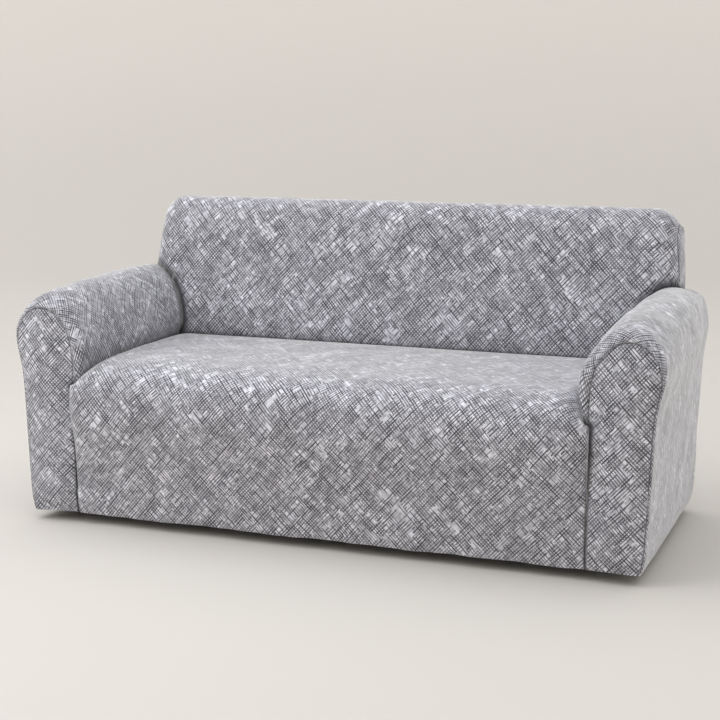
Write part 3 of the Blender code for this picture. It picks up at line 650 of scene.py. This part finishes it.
def gusset_piece(side):
    """Narrow strip that stands on the arm between the two back pieces, swollen by a bump that
    is a parabola across and flattens out at its ends."""
    seams = SEAMS[side]
    grid = patch(seams.foot, seams.gusset_top, seams.gusset_front, seams.gusset_rear[::-1])
    u, v = shares(grid)
    grid[..., 0] += GUSSET_BULGE * 4 * u * (1 - u) * np.sqrt(4 * v * (1 - v))
    pull_sides(grid, SEAM_GAP, CORNER_GAP, CORNER_GAP, CORNER_GAP)
    return mirror(grid, side), all_cloth(grid)


def arm_piece(side):
    """Inner side, crown and outer side of an arm in one piece: rows to the rear."""
    seams = SEAMS[side]
    grid = seams.arm.copy()
    last = seams.last_forward
    pull(grid, np.s_[:last + 1], 0, 1, SEAM_GAP)
    pull(grid, last, np.s_[:CROWN + 1], -1, SEAM_GAP)
    pull(grid, np.s_[last:], CROWN, 1, SEAM_GAP)
    pull(grid, -1, np.s_[CROWN:], -1, SEAM_GAP)
    pull(grid, 0, np.s_[:], 1, CORNER_GAP)
    cloth = all_cloth(grid)
    cloth[last:, :CROWN] = False
    return mirror(grid, side), cloth


def arm_front_piece(side):
    """Scroll-topped front of an arm between its two side seams, hem and scroll: a Coons patch
    that swells a little in the middle."""
    rim = SEAMS[side].rim
    left = np.concatenate([apron_edge()[::-1], rim[1:INNER_SHOULDER + 1]])
    right = rim[:OUTER_SHOULDER - 1:-1]
    level, mark = run(left), run(right)
    at = level / level[-1] * mark[-1]
    right = np.stack([np.interp(at, mark, right[:, k]) for k in range(3)], -1)
    top = rim[INNER_SHOULDER:OUTER_SHOULDER + 1]
    even = np.linspace(0, 1, len(top))
    dense = 0.5 * even + 0.25 * (1 - np.cos(np.pi * even))
    bottom = left[0] + (right[0] - left[0]) * dense[:, None]
    grid = patch(bottom, top, left, right)
    u, v = shares(grid)
    full = plateau(FRONT_CROWN_BAND, v)
    grid[..., 1] -= FRONT_CROWN * (4 * u * (1 - u)) ** FRONT_CROWN_POWER * full
    pull_sides(grid, 0, CORNER_GAP, CORNER_GAP, CORNER_GAP)
    return mirror(grid, side), all_cloth(grid)


# %% [markdown]
# ## Where the sewing pulls
# A seam is drawn in: its stitches hold the cloth tighter than the cloth round it. In a hollow,
# such as the crease round the seat, the cover is also tucked down between the cushions. So each
# seam is a line of points with a direction inwards, and the cloth near it moves that way, most
# of all on the line itself. Both pieces at a seam take the same move and stay joined. Each point
# also gets a share of the dark yarn's colour from a seam near it: a thin dark line along a sewn
# seam, and painted shade, wide and nearly black, down in the creases where shadow falls.

# %% Grooves along the seams
STITCH_PULL = (0.20, 0.031, 0.9)     # how much the depth of a groove varies, wavelength, phase
SEAM_BOX = 0.08                      # nothing further than this from a seam moves
DARKEST = 0.3                        # share of the reach that stays as dark as the line
REACH_CHANGE = 0.5                   # share of the line along which the reach changes
BACK_POINTS, TOP_POINTS = 120, 60


def seam_table(side):
    """Seams of one side as (points, direction inwards, groove, dark). A groove is its depth at
    start and end and its width; a dark is its share on the line and its reach at start and end:
    short on the sewn seams, a thin dark line, and long in the creases, painted shade."""
    seams = SEAMS[side]
    back_end, top_end = seams.crease[0, 0], seams.gusset_rear[TOP_SEAM, 0]
    back = np.linspace((0, *CREASE_BACK), (back_end, *CREASE_BACK), BACK_POINTS)
    top_row = np.full(TOP_POINTS, REAR_TOP_MARKS[TOP_SEAM // GUSSET_STEPS])
    top = back_form(np.linspace(0, top_end, TOP_POINTS), top_row, side)
    fine = (0.0014, 0.0014, 0.0040), (0.30, 0.005, 0.005)
    # Last column: on the rim, gussets and top seam a thin dark seam line; on the apron, crease,
    # back, junction and foot painted shade down in the hollow.
    table = [
        (seams.rim, (0, 1, 0), (0.0013, 0.0013, 0.0030), (0.40, 0.005, 0.005)),
        (apron_edge(), (0, 1, 0), (0.0160, 0.0060, 0.0035), (0.95, 0.019, 0.007)),
        (seams.crease, (0.1, 0, -1), (0.0160, 0.0160, 0.0045), (0.95, 0.027, 0.027)),
        (back, (0, 0.5, -0.9), (0.0150, 0.0150, 0.0045), (0.90, 0.021, 0.021)),
        (seams.junction, (0.55, 0.8, -0.25), (0.0200, 0.0140, 0.0040), (0.95, 0.024, 0.030)),
        (seams.foot, (-0.6, 0, -0.8), (0.0050, 0.0050, 0.0040), (0.80, 0.016, 0.016)),
        (seams.gusset_front, (-1, 0.2, 0), (0.0022, 0.0022, 0.0030), (0.55, 0.006, 0.006)),
        (seams.gusset_top, (-1, 0, -0.2), *fine),
        (seams.gusset_rear, (-1, -0.2, 0), *fine),
        (top, (0, -0.8, -0.6), *fine)]
    return [(mirror(points, side), unit(np.array(way, float)) * (side, 1, 1), groove, dark)
            for points, way, groove, dark in table]


SEAM_TABLE = seam_table(-1) + seam_table(1)


def nearest(points, line):
    """Distance from each point to a line of points, and where on the line that is, 0 to 1."""
    distance = np.full(len(points), np.inf)
    place = np.zeros(len(points))
    for k, mark in enumerate(line):
        away = np.sqrt(((points - mark) ** 2).sum(-1))
        closer = away < distance
        distance[closer] = away[closer]
        place[closer] = k / (len(line) - 1)
    return distance, place


def draw_in(grid):
    """Moves the cloth near each seam by depth x exp(-distance / width), and gives the distance
    to the nearest seam and the share of dark, a seam line or painted shade in a crease, which
    falls off smoothly to 0 over the reach."""
    points = grid.reshape(-1, 3)
    moved = points.copy()
    closest = np.full(len(points), np.inf)
    dark = np.zeros(len(points))
    share, wavelength, phase = STITCH_PULL
    for line, way, (first, last, width), (most_dark, near_reach, far_reach) in SEAM_TABLE:
        low, high = line.min(0) - SEAM_BOX, line.max(0) + SEAM_BOX
        near = np.all((points > low) & (points < high), axis=-1)
        if not near.any():
            continue
        distance, place = nearest(points[near], line)
        depth = first + (last - first) * place
        turn = 2 * np.pi * place * run(line)[-1] / wavelength + phase
        depth = depth * (1 + share * np.sin(turn))
        moved[near] += (depth * np.exp(-distance / width))[:, None] * way
        closest[near] = np.minimum(closest[near], distance)
        # The dark is a thin seam line where the reach is short, and painted shade in the creases,
        # where shadow falls.
        reach = near_reach + (far_reach - near_reach) * ease(0, REACH_CHANGE, place)
        fade = ease(DARKEST, 1, distance / reach)
        dark[near] = np.maximum(dark[near], most_dark * (1 - fade))
    shape = grid.shape[:2]
    return moved.reshape(grid.shape), closest.reshape(shape), dark.reshape(shape)


print("seams:", len(SEAM_TABLE))

# %% [markdown]
# ## Hem and soft folds
# The hem is the cloth turned up once and sewn down: a band that stands a little proud, with a
# fine groove where it is stitched. Over the wide faces the knit isn't quite even, so it rises
# and falls by about a millimetre in long, soft waves that die out before the seams.

# %% Hem and folds
HEM_WIDTH, HEM_PROUD, HEM_EDGE = 0.020, 0.0009, 0.001
STITCH_DEPTH, STITCH_WIDTH = 0.0007, 0.0016
HEM_DRIFT = ((0.0012, 0.41, 0.3), (0.0008, 0.19, 1.7), (0.0005, 0.083, 2.2))
DRIFT_SLANT, DRIFT_HEIGHT = 0.7, 0.12
FOLD_RISE, FOLD_FROM_SEAM, FOLD_FROM_FOOT = 0.0011, (0.01, 0.09), (0.0, 0.10)
FOLD_COUNT, SHORTEST_FOLD, LONGEST_FOLD = 14, 0.09, 0.30
FOLD_WAVES = np.random.default_rng(7).normal(size=(FOLD_COUNT, 3))
FOLD_LENGTHS = np.random.default_rng(8).uniform(SHORTEST_FOLD, LONGEST_FOLD, FOLD_COUNT)
FOLD_PHASES = np.random.default_rng(9).uniform(0, 2 * np.pi, FOLD_COUNT)


def facing(grid, outward):
    """Direction across the sheet at each point, the cross product of its two grid lines, on the
    side of the point outward; and whether it had to be turned round for that."""
    across = unit(np.cross(np.gradient(grid, axis=1), np.gradient(grid, axis=0)))
    middle = tuple(n // 2 for n in grid.shape[:2])
    turned = np.dot(across[middle], outward - grid[middle]) < 0
    return (-across if turned else across), turned


def folds(points):
    """Sum of plane waves in random directions, about -1 to 1."""
    turn = 2 * np.pi * (points @ (unit(FOLD_WAVES) / FOLD_LENGTHS[:, None]).T)
    return np.sin(turn + FOLD_PHASES).sum(-1) / np.sqrt(FOLD_COUNT)


def settle(grid, across):
    """The sheet as it hangs: seams drawn in, hem turned up, soft folds. Also its dark: seam lines
    and painted crease shade.
    """
    drawn, seam, dark = draw_in(grid)
    height = grid[..., 2] - HEM_Z
    hem = 1 - ease(HEM_WIDTH - HEM_EDGE, HEM_WIDTH + HEM_EDGE, height)
    groove = np.exp(-((height - HEM_WIDTH) / STITCH_WIDTH) ** 2)
    soft = FOLD_RISE * folds(grid) * ease(*FOLD_FROM_SEAM, seam) * ease(*FOLD_FROM_FOOT, height)
    drawn = drawn + across * (HEM_PROUD * hem - STITCH_DEPTH * groove + soft)[..., None]
    drift = waves(HEM_DRIFT, grid[..., 0] + DRIFT_SLANT * grid[..., 1])
    drawn[..., 2] += drift * (1 - ease(0.0, DRIFT_HEIGHT, height))
    return drawn, dark


print("folds rise about", 1000 * FOLD_RISE, "mm")

# %% [markdown]
# ## Laying the cloth on the shape
# The pattern was made on flat cloth, so it has to follow the sheet. Each point is given its
# place on the cut piece: how far it lies across and how far up, measured along the sheet in
# metres. These two lengths become the piece's own UV map, and the pattern keeps its scale on
# every piece, round every corner.

# %% Place of each point on the cut piece


def lengths(grid, axis, start):
    """Length along the grid's lines in one direction, counted from the line start."""
    steps = np.linalg.norm(np.diff(grid, axis=axis), axis=-1)
    shape = list(steps.shape)
    shape[axis] = 1
    total = np.concatenate([np.zeros(shape), np.cumsum(steps, axis=axis)], axis=axis)
    return total - np.take(total, [start], axis=axis)


def seat_place(grid):
    """Across: along each row from the middle. Up: down the middle of the seat, for all."""
    middle = grid.shape[1] // 2
    up = -lengths(grid, 0, len(DECK_LINES) - 1)[:, middle:middle + 1]
    return np.stack([lengths(grid, 1, middle), up + 0 * grid[..., 0]], -1)


def outside_place(grid):
    """Across: along each row from the middle. Up: down the side view, by height."""
    middle = grid.shape[1] // 2
    upward = PROFILE_ROWS > REAR_TOP_MARKS[2]
    height = np.interp(grid[..., 2], PROFILE[upward, 1][::-1], -PROFILE_LENGTHS[upward][::-1])
    return np.stack([-lengths(grid, 1, middle), height], -1)


# %% Make a piece


def put(name, data):
    """New object in the scene."""
    thing = bpy.data.objects.new(name, data)
    bpy.context.scene.collection.objects.link(thing)
    return thing


def put_surface(name, points, faces):
    """New object with a smooth mesh of these points and faces."""
    mesh = bpy.data.meshes.new(name)
    mesh.from_pydata(points.tolist(), [], faces)
    mesh.shade_smooth()
    return put(name, mesh)


def quads(index):
    """Corners of every face between the lines of a grid of point numbers."""
    return np.stack([index[:-1, :-1], index[:-1, 1:], index[1:, 1:], index[1:, :-1]], -1)


def add_sheet(name, points, faces, place, dark):
    """Sheet of the given faces, with the map of the cut piece, the share of dark at each point
    (seam lines and painted crease shade) and the thickness of the knit."""
    used, corners = np.unique(faces, return_inverse=True)
    sheet = put_surface(name, points[used] - CREST, corners.reshape(-1, 4).tolist())
    mesh = sheet.data
    mesh.uv_layers.new(name="cut").uv.foreach_set("vector", place[faces].ravel())
    mesh.attributes.new("dark", "FLOAT", "POINT").data.foreach_set("value", dark[used])
    mesh.validate()
    thickness = sheet.modifiers.new("knit", "SOLIDIFY")
    thickness.thickness = CLOTH
    thickness.offset = -1.0
    return sheet


PIECES = {}


def dress(name, panel, place, stretch, shift, outward):
    """Adds a sheet that stands for the CAD node of the same name. Its place on the flat cloth is
    its place on the sofa over the stretch of the piece, moved by shift along the roll."""
    grid, cloth = panel
    across, turned = facing(grid, outward)
    grid, dark = settle(grid, across)
    points, place = grid.reshape(-1, 3), place.reshape(-1, 2) / stretch
    faces = quads(np.arange(len(points)).reshape(dark.shape))[cloth]
    if turned:
        faces = faces[:, ::-1]
    sheet = add_sheet(name + "_knit", points, faces, place + shift, dark.ravel())
    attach(sheet, "root")
    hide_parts(name)
    a, b, c, d = points[faces.T]
    area = 0.5 * np.linalg.norm(np.cross(c - a, d - b), axis=-1).sum()
    PIECES[name] = (sheet, *np.ptp(place[faces.ravel()], axis=0), area / stretch ** 2)
    print(f"{name}: {area:.3f} m2 on the sofa, {len(faces)} faces")


# %% [markdown]
# ## The nine pieces
# Now the pieces are cut and put on. Each has its own place on the roll of cloth, so that the
# pattern doesn't repeat from one piece to the next. A fitted cover is cut smaller than the sofa
# and stretched over it: by about an eighth over the back, and by half of that over the seat,
# which has to give when someone sits down.

# %% Cut and lay every piece
SEAT_STRETCH, ARM_STRETCH, FRONT_STRETCH, BACK_STRETCH = 1.06, 1.06, 1.05, 1.12

seat = both_halves(seat_half)
dress("seat_panel", seat, seat_place(seat[0]), SEAT_STRETCH, (2.3, 1.1), (0, -3, 3))
inside = both_halves(inside_back_half)
left_place, right_place = SEAMS[-1].back_place, SEAMS[1].back_place
inside_place = np.concatenate([left_place[:, :0:-1], right_place], axis=1)
dress("inside_back_panel", inside, inside_place, BACK_STRETCH, (5.2, 4.6), (0, -3, 2))
outside = both_halves(outside_back_half)
dress("outside_back_panel", outside, outside_place(outside[0]), BACK_STRETCH, (9.1, 2.7),
      (0, 5, 0.5))
for side, word in ((-1, "left"), (1, "right")):
    beyond = (side * 4, 0.4, 1.0)
    arm = arm_piece(side)
    dress("arm_panel_" + word, arm, SEAMS[side].arm_place[..., ::-1] * (side, -1), ARM_STRETCH,
          (12.4 + 1.7 * side, 6.3), beyond)
    front = arm_front_piece(side)
    dress("arm_front_" + word, front, front[0][..., [0, 2]], FRONT_STRETCH,
          (17.5, 3.3 + 0.9 * side), (side * 0.8, -4, 0.4))
    gusset = gusset_piece(side)
    dress("back_gusset_" + word, gusset, gusset[0][..., [1, 2]] * (side, 1), BACK_STRETCH,
          (21.5, 3.3 + 0.9 * side), beyond)

# %% [markdown]
# ## The cut sizes
# The places on the flat cloth also give the size of the rectangle that each piece is cut from,
# so nothing has to be measured again by hand.

# %% [markdown]
# ## The cloth
# The knit has a light and a dark yarn. The dark yarn draws fine lines in two directions, which
# rise to the left and to the right at about 48 degrees from level. In some patches both sets of
# lines are dense, in others there is mostly one set, and here and there the ground shows. Lines
# break off and start again. A painted picture of the cloth would blur close by and show where it
# repeats. Nodes draw the lines from the place on the flat cloth, sharp at any distance.

# %% A short way to write nodes


class Nodes:
    """Adds nodes to a material; values may be numbers or sockets."""

    def __init__(self, tree):
        self.tree = tree

    def feed(self, node, inputs):
        """Gives a node its inputs, by name or number."""
        for key, value in dict(inputs).items():
            if isinstance(value, bpy.types.NodeSocket):
                self.tree.links.new(value, node.inputs[key])
            else:
                node.inputs[key].default_value = value

    def new(self, kind, inputs=(), **settings):
        """One node, its settings and its inputs."""
        node = self.tree.nodes.new(kind)
        for key, value in settings.items():
            setattr(node, key, value)
        self.feed(node, inputs)
        return node

    def math(self, operation, *values):
        """A Math node on one, two or three values."""
        return self.new("ShaderNodeMath", enumerate(values), operation=operation).outputs[0]

    def add(self, a, b):
        return self.math("ADD", a, b)

    def less(self, a, b):
        return self.math("SUBTRACT", a, b)

    def times(self, a, b):
        return self.math("MULTIPLY", a, b)

    def floor(self, a):
        return self.math("FLOOR", a)

    def blend(self, share, a, b):
        """a where share is 0, b where it is 1."""
        return self.new("ShaderNodeMix", {0: share, 2: a, 3: b}).outputs[0]

    def colour(self, share, a, b):
        """The same for two colours."""
        return self.new("ShaderNodeMix", {0: share, 6: a, 7: b}, data_type="RGBA").outputs[2]

    def step(self, value, low, high):
        """Smooth step from 0 at low to 1 at high."""
        node = self.new("ShaderNodeMapRange", {0: value, 1: low, 2: high},
                        interpolation_type="SMOOTHSTEP")
        return node.outputs[0]

    def chance(self, a, b, seed):
        """Random number from 0 to 1 for the cell (a, b)."""
        cell = self.new("ShaderNodeCombineXYZ", {0: a, 1: b, 2: seed}).outputs[0]
        return self.new("ShaderNodeTexWhiteNoise", {0: cell}, noise_dimensions="3D").outputs[0]

    def varied(self, least, more, chance):
        """A number from least to least + more, by a chance from 0 to 1."""
        return self.add(self.times(chance, more), least)


def new_material(name):
    """Material, its writer of nodes and its shader."""
    material = bpy.data.materials.new(name)
    material.use_nodes = True
    return material, Nodes(material.node_tree), material.node_tree.nodes["Principled BSDF"]


# %% The crosshatched knit
PITCH = 0.0070                     # from one dark line to the next on the flat cloth
SLANT = math.radians(47.5)         # of the lines, from level
LIGHT_YARN, MID_YARN = (0.745, 0.747, 0.812, 1), (0.378, 0.378, 0.418, 1)
# The dark yarn, also the colour of the seam lines and of the painted shade in the creases.
DARK_YARN = (0.042, 0.042, 0.050, 1)
SPARSE, DENSE, MORE = 0.42, 0.95, 0.46   # chance that a length of line is drawn
LENGTH, LENGTH_SHIFT = 6, 9.0            # of a length of line, in pitches, as all below
CENTRE, HALF_WIDTH, STRENGTH = (0.40, 0.2), (0.165, 0.10), (0.6, 0.4)   # least, and more
EDGE = 0.07                              # how soft a line's edge is
LEAN, KIND, FIELD, CELL = (12.0, 12.0), (2.5, 5.0), (3.0, 4.0), (1.0, 1.3)   # patches
KIND_HALF, KIND_P, KIND_Q = 0.32, 0.32, 0.58   # chances for a patch of dense lines
BRICK_SHIFT = 7.0                        # how far columns of patches are shifted, at most
CELL_SHARE, FIELD_SHARE, TONE = 0.66, 0.34, (0.08, 0.98)
CLOUDS, CLOUD_STEP = 9.0, (0.42, 0.62)   # clouds to a metre, that also make the lines waver
STITCHES, STITCH_RISE, LINE_SINK = 700.0, 0.6, 0.5   # stitches to a metre, shares of relief


def hatch(n, across, along, density, seed):
    """One set of lines: up to 1 on a dark line, 0 between. Line number floor(across) is cut into
    lengths. A length is drawn where its random number is under density, and has a width and a
    strength of its own."""
    line = n.floor(across)
    own = n.chance(line, 0.5, seed)
    length = n.floor(n.add(n.times(along, 1 / LENGTH), n.times(own, LENGTH_SHIFT)))
    drawn = n.math("LESS_THAN", n.chance(line, length, seed + 1.0), density)
    offset = n.math("ABSOLUTE", n.less(n.less(across, line), n.varied(*CENTRE, own)))
    half_width = n.varied(*HALF_WIDTH, n.chance(line, length, seed + 2.0))
    profile = n.step(offset, n.add(half_width, EDGE), n.less(half_width, EDGE))
    strength = n.varied(*STRENGTH, n.chance(line, length, seed + 3.0))
    return n.times(n.times(drawn, profile), strength)


def patches(n, a, b, wide, long, seed):
    """Random number of a brick-like patch, wide by long lines."""
    column = n.floor(n.times(a, 1 / wide))
    shift = n.times(n.chance(column, 0.0, seed), BRICK_SHIFT)
    return n.chance(column, n.floor(n.add(n.times(b, 1 / long), shift)), seed + 1.0)


def knit_material():
    """Two sets of broken lines on a ground whose cells run from mid grey to light."""
    material, n, shader = new_material("crosshatch_knit")
    place = n.new("ShaderNodeUVMap", uv_map="cut").outputs[0]
    u, v = n.new("ShaderNodeSeparateXYZ", {0: place}).outputs[:2]
    wobble = n.new("ShaderNodeTexNoise", {"Vector": place, "Scale": CLOUDS, "Detail": 2.0})
    bent = n.new("ShaderNodeSeparateColor", {0: wobble.outputs["Color"]})
    level = n.times(u, math.sin(SLANT) / PITCH)
    upright = n.times(v, math.cos(SLANT) / PITCH)
    p = n.add(n.less(level, upright), bent.outputs[0])
    q = n.add(n.add(level, upright), bent.outputs[1])

    cloud = n.new("ShaderNodeTexNoise", {"Vector": place, "Scale": CLOUDS, "Detail": 3.0})
    sparse = n.varied(SPARSE, MORE, n.step(cloud.outputs[0], *CLOUD_STEP))
    lean = n.math("LESS_THAN", patches(n, p, q, *LEAN, 40.0), 0.5)
    kind = n.blend(lean, patches(n, p, q, *KIND, 10.0), patches(n, q, p, *KIND, 20.0))
    p_dense, q_dense = (n.math("LESS_THAN", n.math("ABSOLUTE", n.less(kind, middle)), KIND_HALF)
                        for middle in (KIND_P, KIND_Q))
    lines = n.math("MAXIMUM", hatch(n, p, q, n.blend(p_dense, sparse, DENSE), 50.0),
                   hatch(n, q, p, n.blend(q_dense, sparse, DENSE), 60.0))

    cell = n.blend(lean, patches(n, p, q, *CELL, 80.0), patches(n, q, p, *CELL, 90.0))
    field = patches(n, p, q, *FIELD, 70.0)
    tone = n.step(n.add(n.times(cell, CELL_SHARE), n.times(field, FIELD_SHARE)), *TONE)
    ground = n.colour(tone, MID_YARN, LIGHT_YARN)
    # Painted shade: the creases and tucks, where shadow falls, take the dark yarn's colour, and so
    # do thin lines along the sewn seams.
    dark = n.new("ShaderNodeAttribute", attribute_name="dark").outputs["Fac"]
    stitches = n.new("ShaderNodeTexNoise", {"Vector": place, "Scale": STITCHES, "Detail": 1.0})
    relief = n.less(n.times(stitches.outputs[0], STITCH_RISE), n.times(lines, LINE_SINK))
    bump = n.new("ShaderNodeBump", {"Height": relief, "Strength": 0.35, "Distance": 0.0004})
    n.feed(shader, {"Base Color": n.colour(n.math("MAXIMUM", lines, dark), ground, DARK_YARN),
                    "Normal": bump.outputs[0], "Roughness": 0.88, "Specular IOR Level": 0.25,
                    "Sheen Weight": 0.8, "Sheen Roughness": 0.40})
    return material


KNIT = knit_material()
for sheet, *_ in PIECES.values():
    sheet.data.materials.append(KNIT)
print("knit:", len(KNIT.node_tree.nodes), "nodes")

# %% [markdown]
# ## Floor and light
# A studio floor runs up into a wall without a corner, so that it shows no horizon. The light is
# a broad soft box overhead, a fill from the front at the left, one that lights the wall on the
# left, and a low one beside the right arm.

# %% Floor
FLOOR_Z = -float(CREST[2])
# The wall is painted lighter than the floor. This is painted light: it makes up for the overhead
# light, which reaches the floor more than the wall.
FLOOR_PAINT, WALL_PAINT = (0.612, 0.585, 0.548, 1), (0.772, 0.738, 0.694, 1)
FLAT, TURN, HEIGHT = 6.0, 3.0, 3.0       # radius of the floor, of its turn, and the wall's height
HUB, FLAT_RINGS, TURN_RINGS, SPOKES = 0.02, 11, 25, 96


def studio_floor():
    """Disc that turns up into a wall all round: a line, a quarter circle and a line, spun."""
    sweep = np.linspace(0, np.pi / 2, TURN_RINGS)
    radius = np.concatenate([np.linspace(HUB, FLAT, FLAT_RINGS, endpoint=False),
                             FLAT + TURN * np.sin(sweep), [FLAT + TURN]])
    rise = np.concatenate([np.zeros(FLAT_RINGS), TURN * (1 - np.cos(sweep)), [TURN + HEIGHT]])
    angle = np.linspace(0, 2 * np.pi, SPOKES, endpoint=False)
    grid = np.stack([radius[:, None] * np.cos(angle), radius[:, None] * np.sin(angle),
                     FLOOR_Z + rise[:, None] + 0 * angle], -1)
    index = np.arange(grid.size // 3).reshape(grid.shape[:2])
    ring = quads(np.column_stack([index, index[:, 0]]))[..., ::-1].reshape(-1, 4)
    floor = put_surface("studio_floor", grid.reshape(-1, 3), [*ring.tolist(), index[0].tolist()])
    paint, n, shader = new_material("studio_paint")
    place = n.new("ShaderNodeTexCoord").outputs["Object"]
    height = n.new("ShaderNodeSeparateXYZ", {0: place}).outputs[2]
    # Painted light: the paint turns lighter up the turn into the wall, which the lamps light less
    # than the floor.
    tone = n.colour(n.step(height, FLOOR_Z, FLOOR_Z + TURN), FLOOR_PAINT, WALL_PAINT)
    n.feed(shader, {"Base Color": tone, "Roughness": 0.95, "Specular IOR Level": 0.0})
    floor.data.materials.append(paint)
    return floor


studio_floor()
print("floor at", FLOOR_Z, "m")

# %% Lights
DAYLIGHT, AIR_STRENGTH = (0.975, 0.985, 1.0), 1.20
BOXES = {
    # place, the point it looks at, size, watts
    "overhead_box": ((-1.5, -0.9, 3.3), (0.0, -0.1, -0.5), (4.2, 3.4), 57),
    "front_box": ((-2.9, -3.3, 1.0), (-0.5, 0.0, -0.5), (2.4, 2.0), 46),
    "wall_box": ((-6.0, 1.5, 2.0), (-5.0, 8.0, 1.0), (2.0, 2.0), 34),
    "side_box": ((3.4, 0.4, -0.35), (0.9, -0.2, -0.5), (1.6, 0.8), 10)}


def soft_box(name, place, target, size, watts):
    """Rectangular area light at place that looks at target."""
    data = bpy.data.lights.new(name, "AREA")
    data.shape, (data.size, data.size_y) = "RECTANGLE", size
    data.energy, data.color = watts, DAYLIGHT
    lamp = put(name, data)
    way = np.subtract(place, target)
    lamp.location = place
    lamp.rotation_euler = (math.acos(way[2] / np.linalg.norm(way)), 0,
                           math.atan2(way[1], way[0]) + math.pi / 2)


for name, settings in BOXES.items():
    soft_box(name, *settings)
air = bpy.data.worlds.new("studio_air")
bpy.context.scene.world = air
air.use_nodes = True
Nodes(air.node_tree).feed(air.node_tree.nodes["Background"],
                          {"Color": (*DAYLIGHT, 1), "Strength": AIR_STRENGTH})
bpy.context.scene.view_settings.view_transform = "Standard"
print("lights:", ", ".join(BOXES))

# %% [markdown]
# ## Camera
# A long lens from a third of a metre above the back, about 21 degrees to the right of the
# front, looks down on the seat by ten degrees and shows the outer side of the right arm.

# %% Camera
CAMERA_PLACE, CAMERA_TILT, CAMERA_TURN = (1.5618, -4.4703, 0.3403), 79.9394, 21.0816

lens = bpy.data.cameras.new("camera")
lens.lens, lens.sensor_width = 75.87, 36.0
camera = put("camera", lens)
camera.location = CAMERA_PLACE
camera.rotation_euler = (math.radians(CAMERA_TILT), 0.0, math.radians(CAMERA_TURN))
bpy.context.scene.camera = camera
print("camera at", CAMERA_PLACE, "with a lens of", round(lens.lens, 2), "mm")
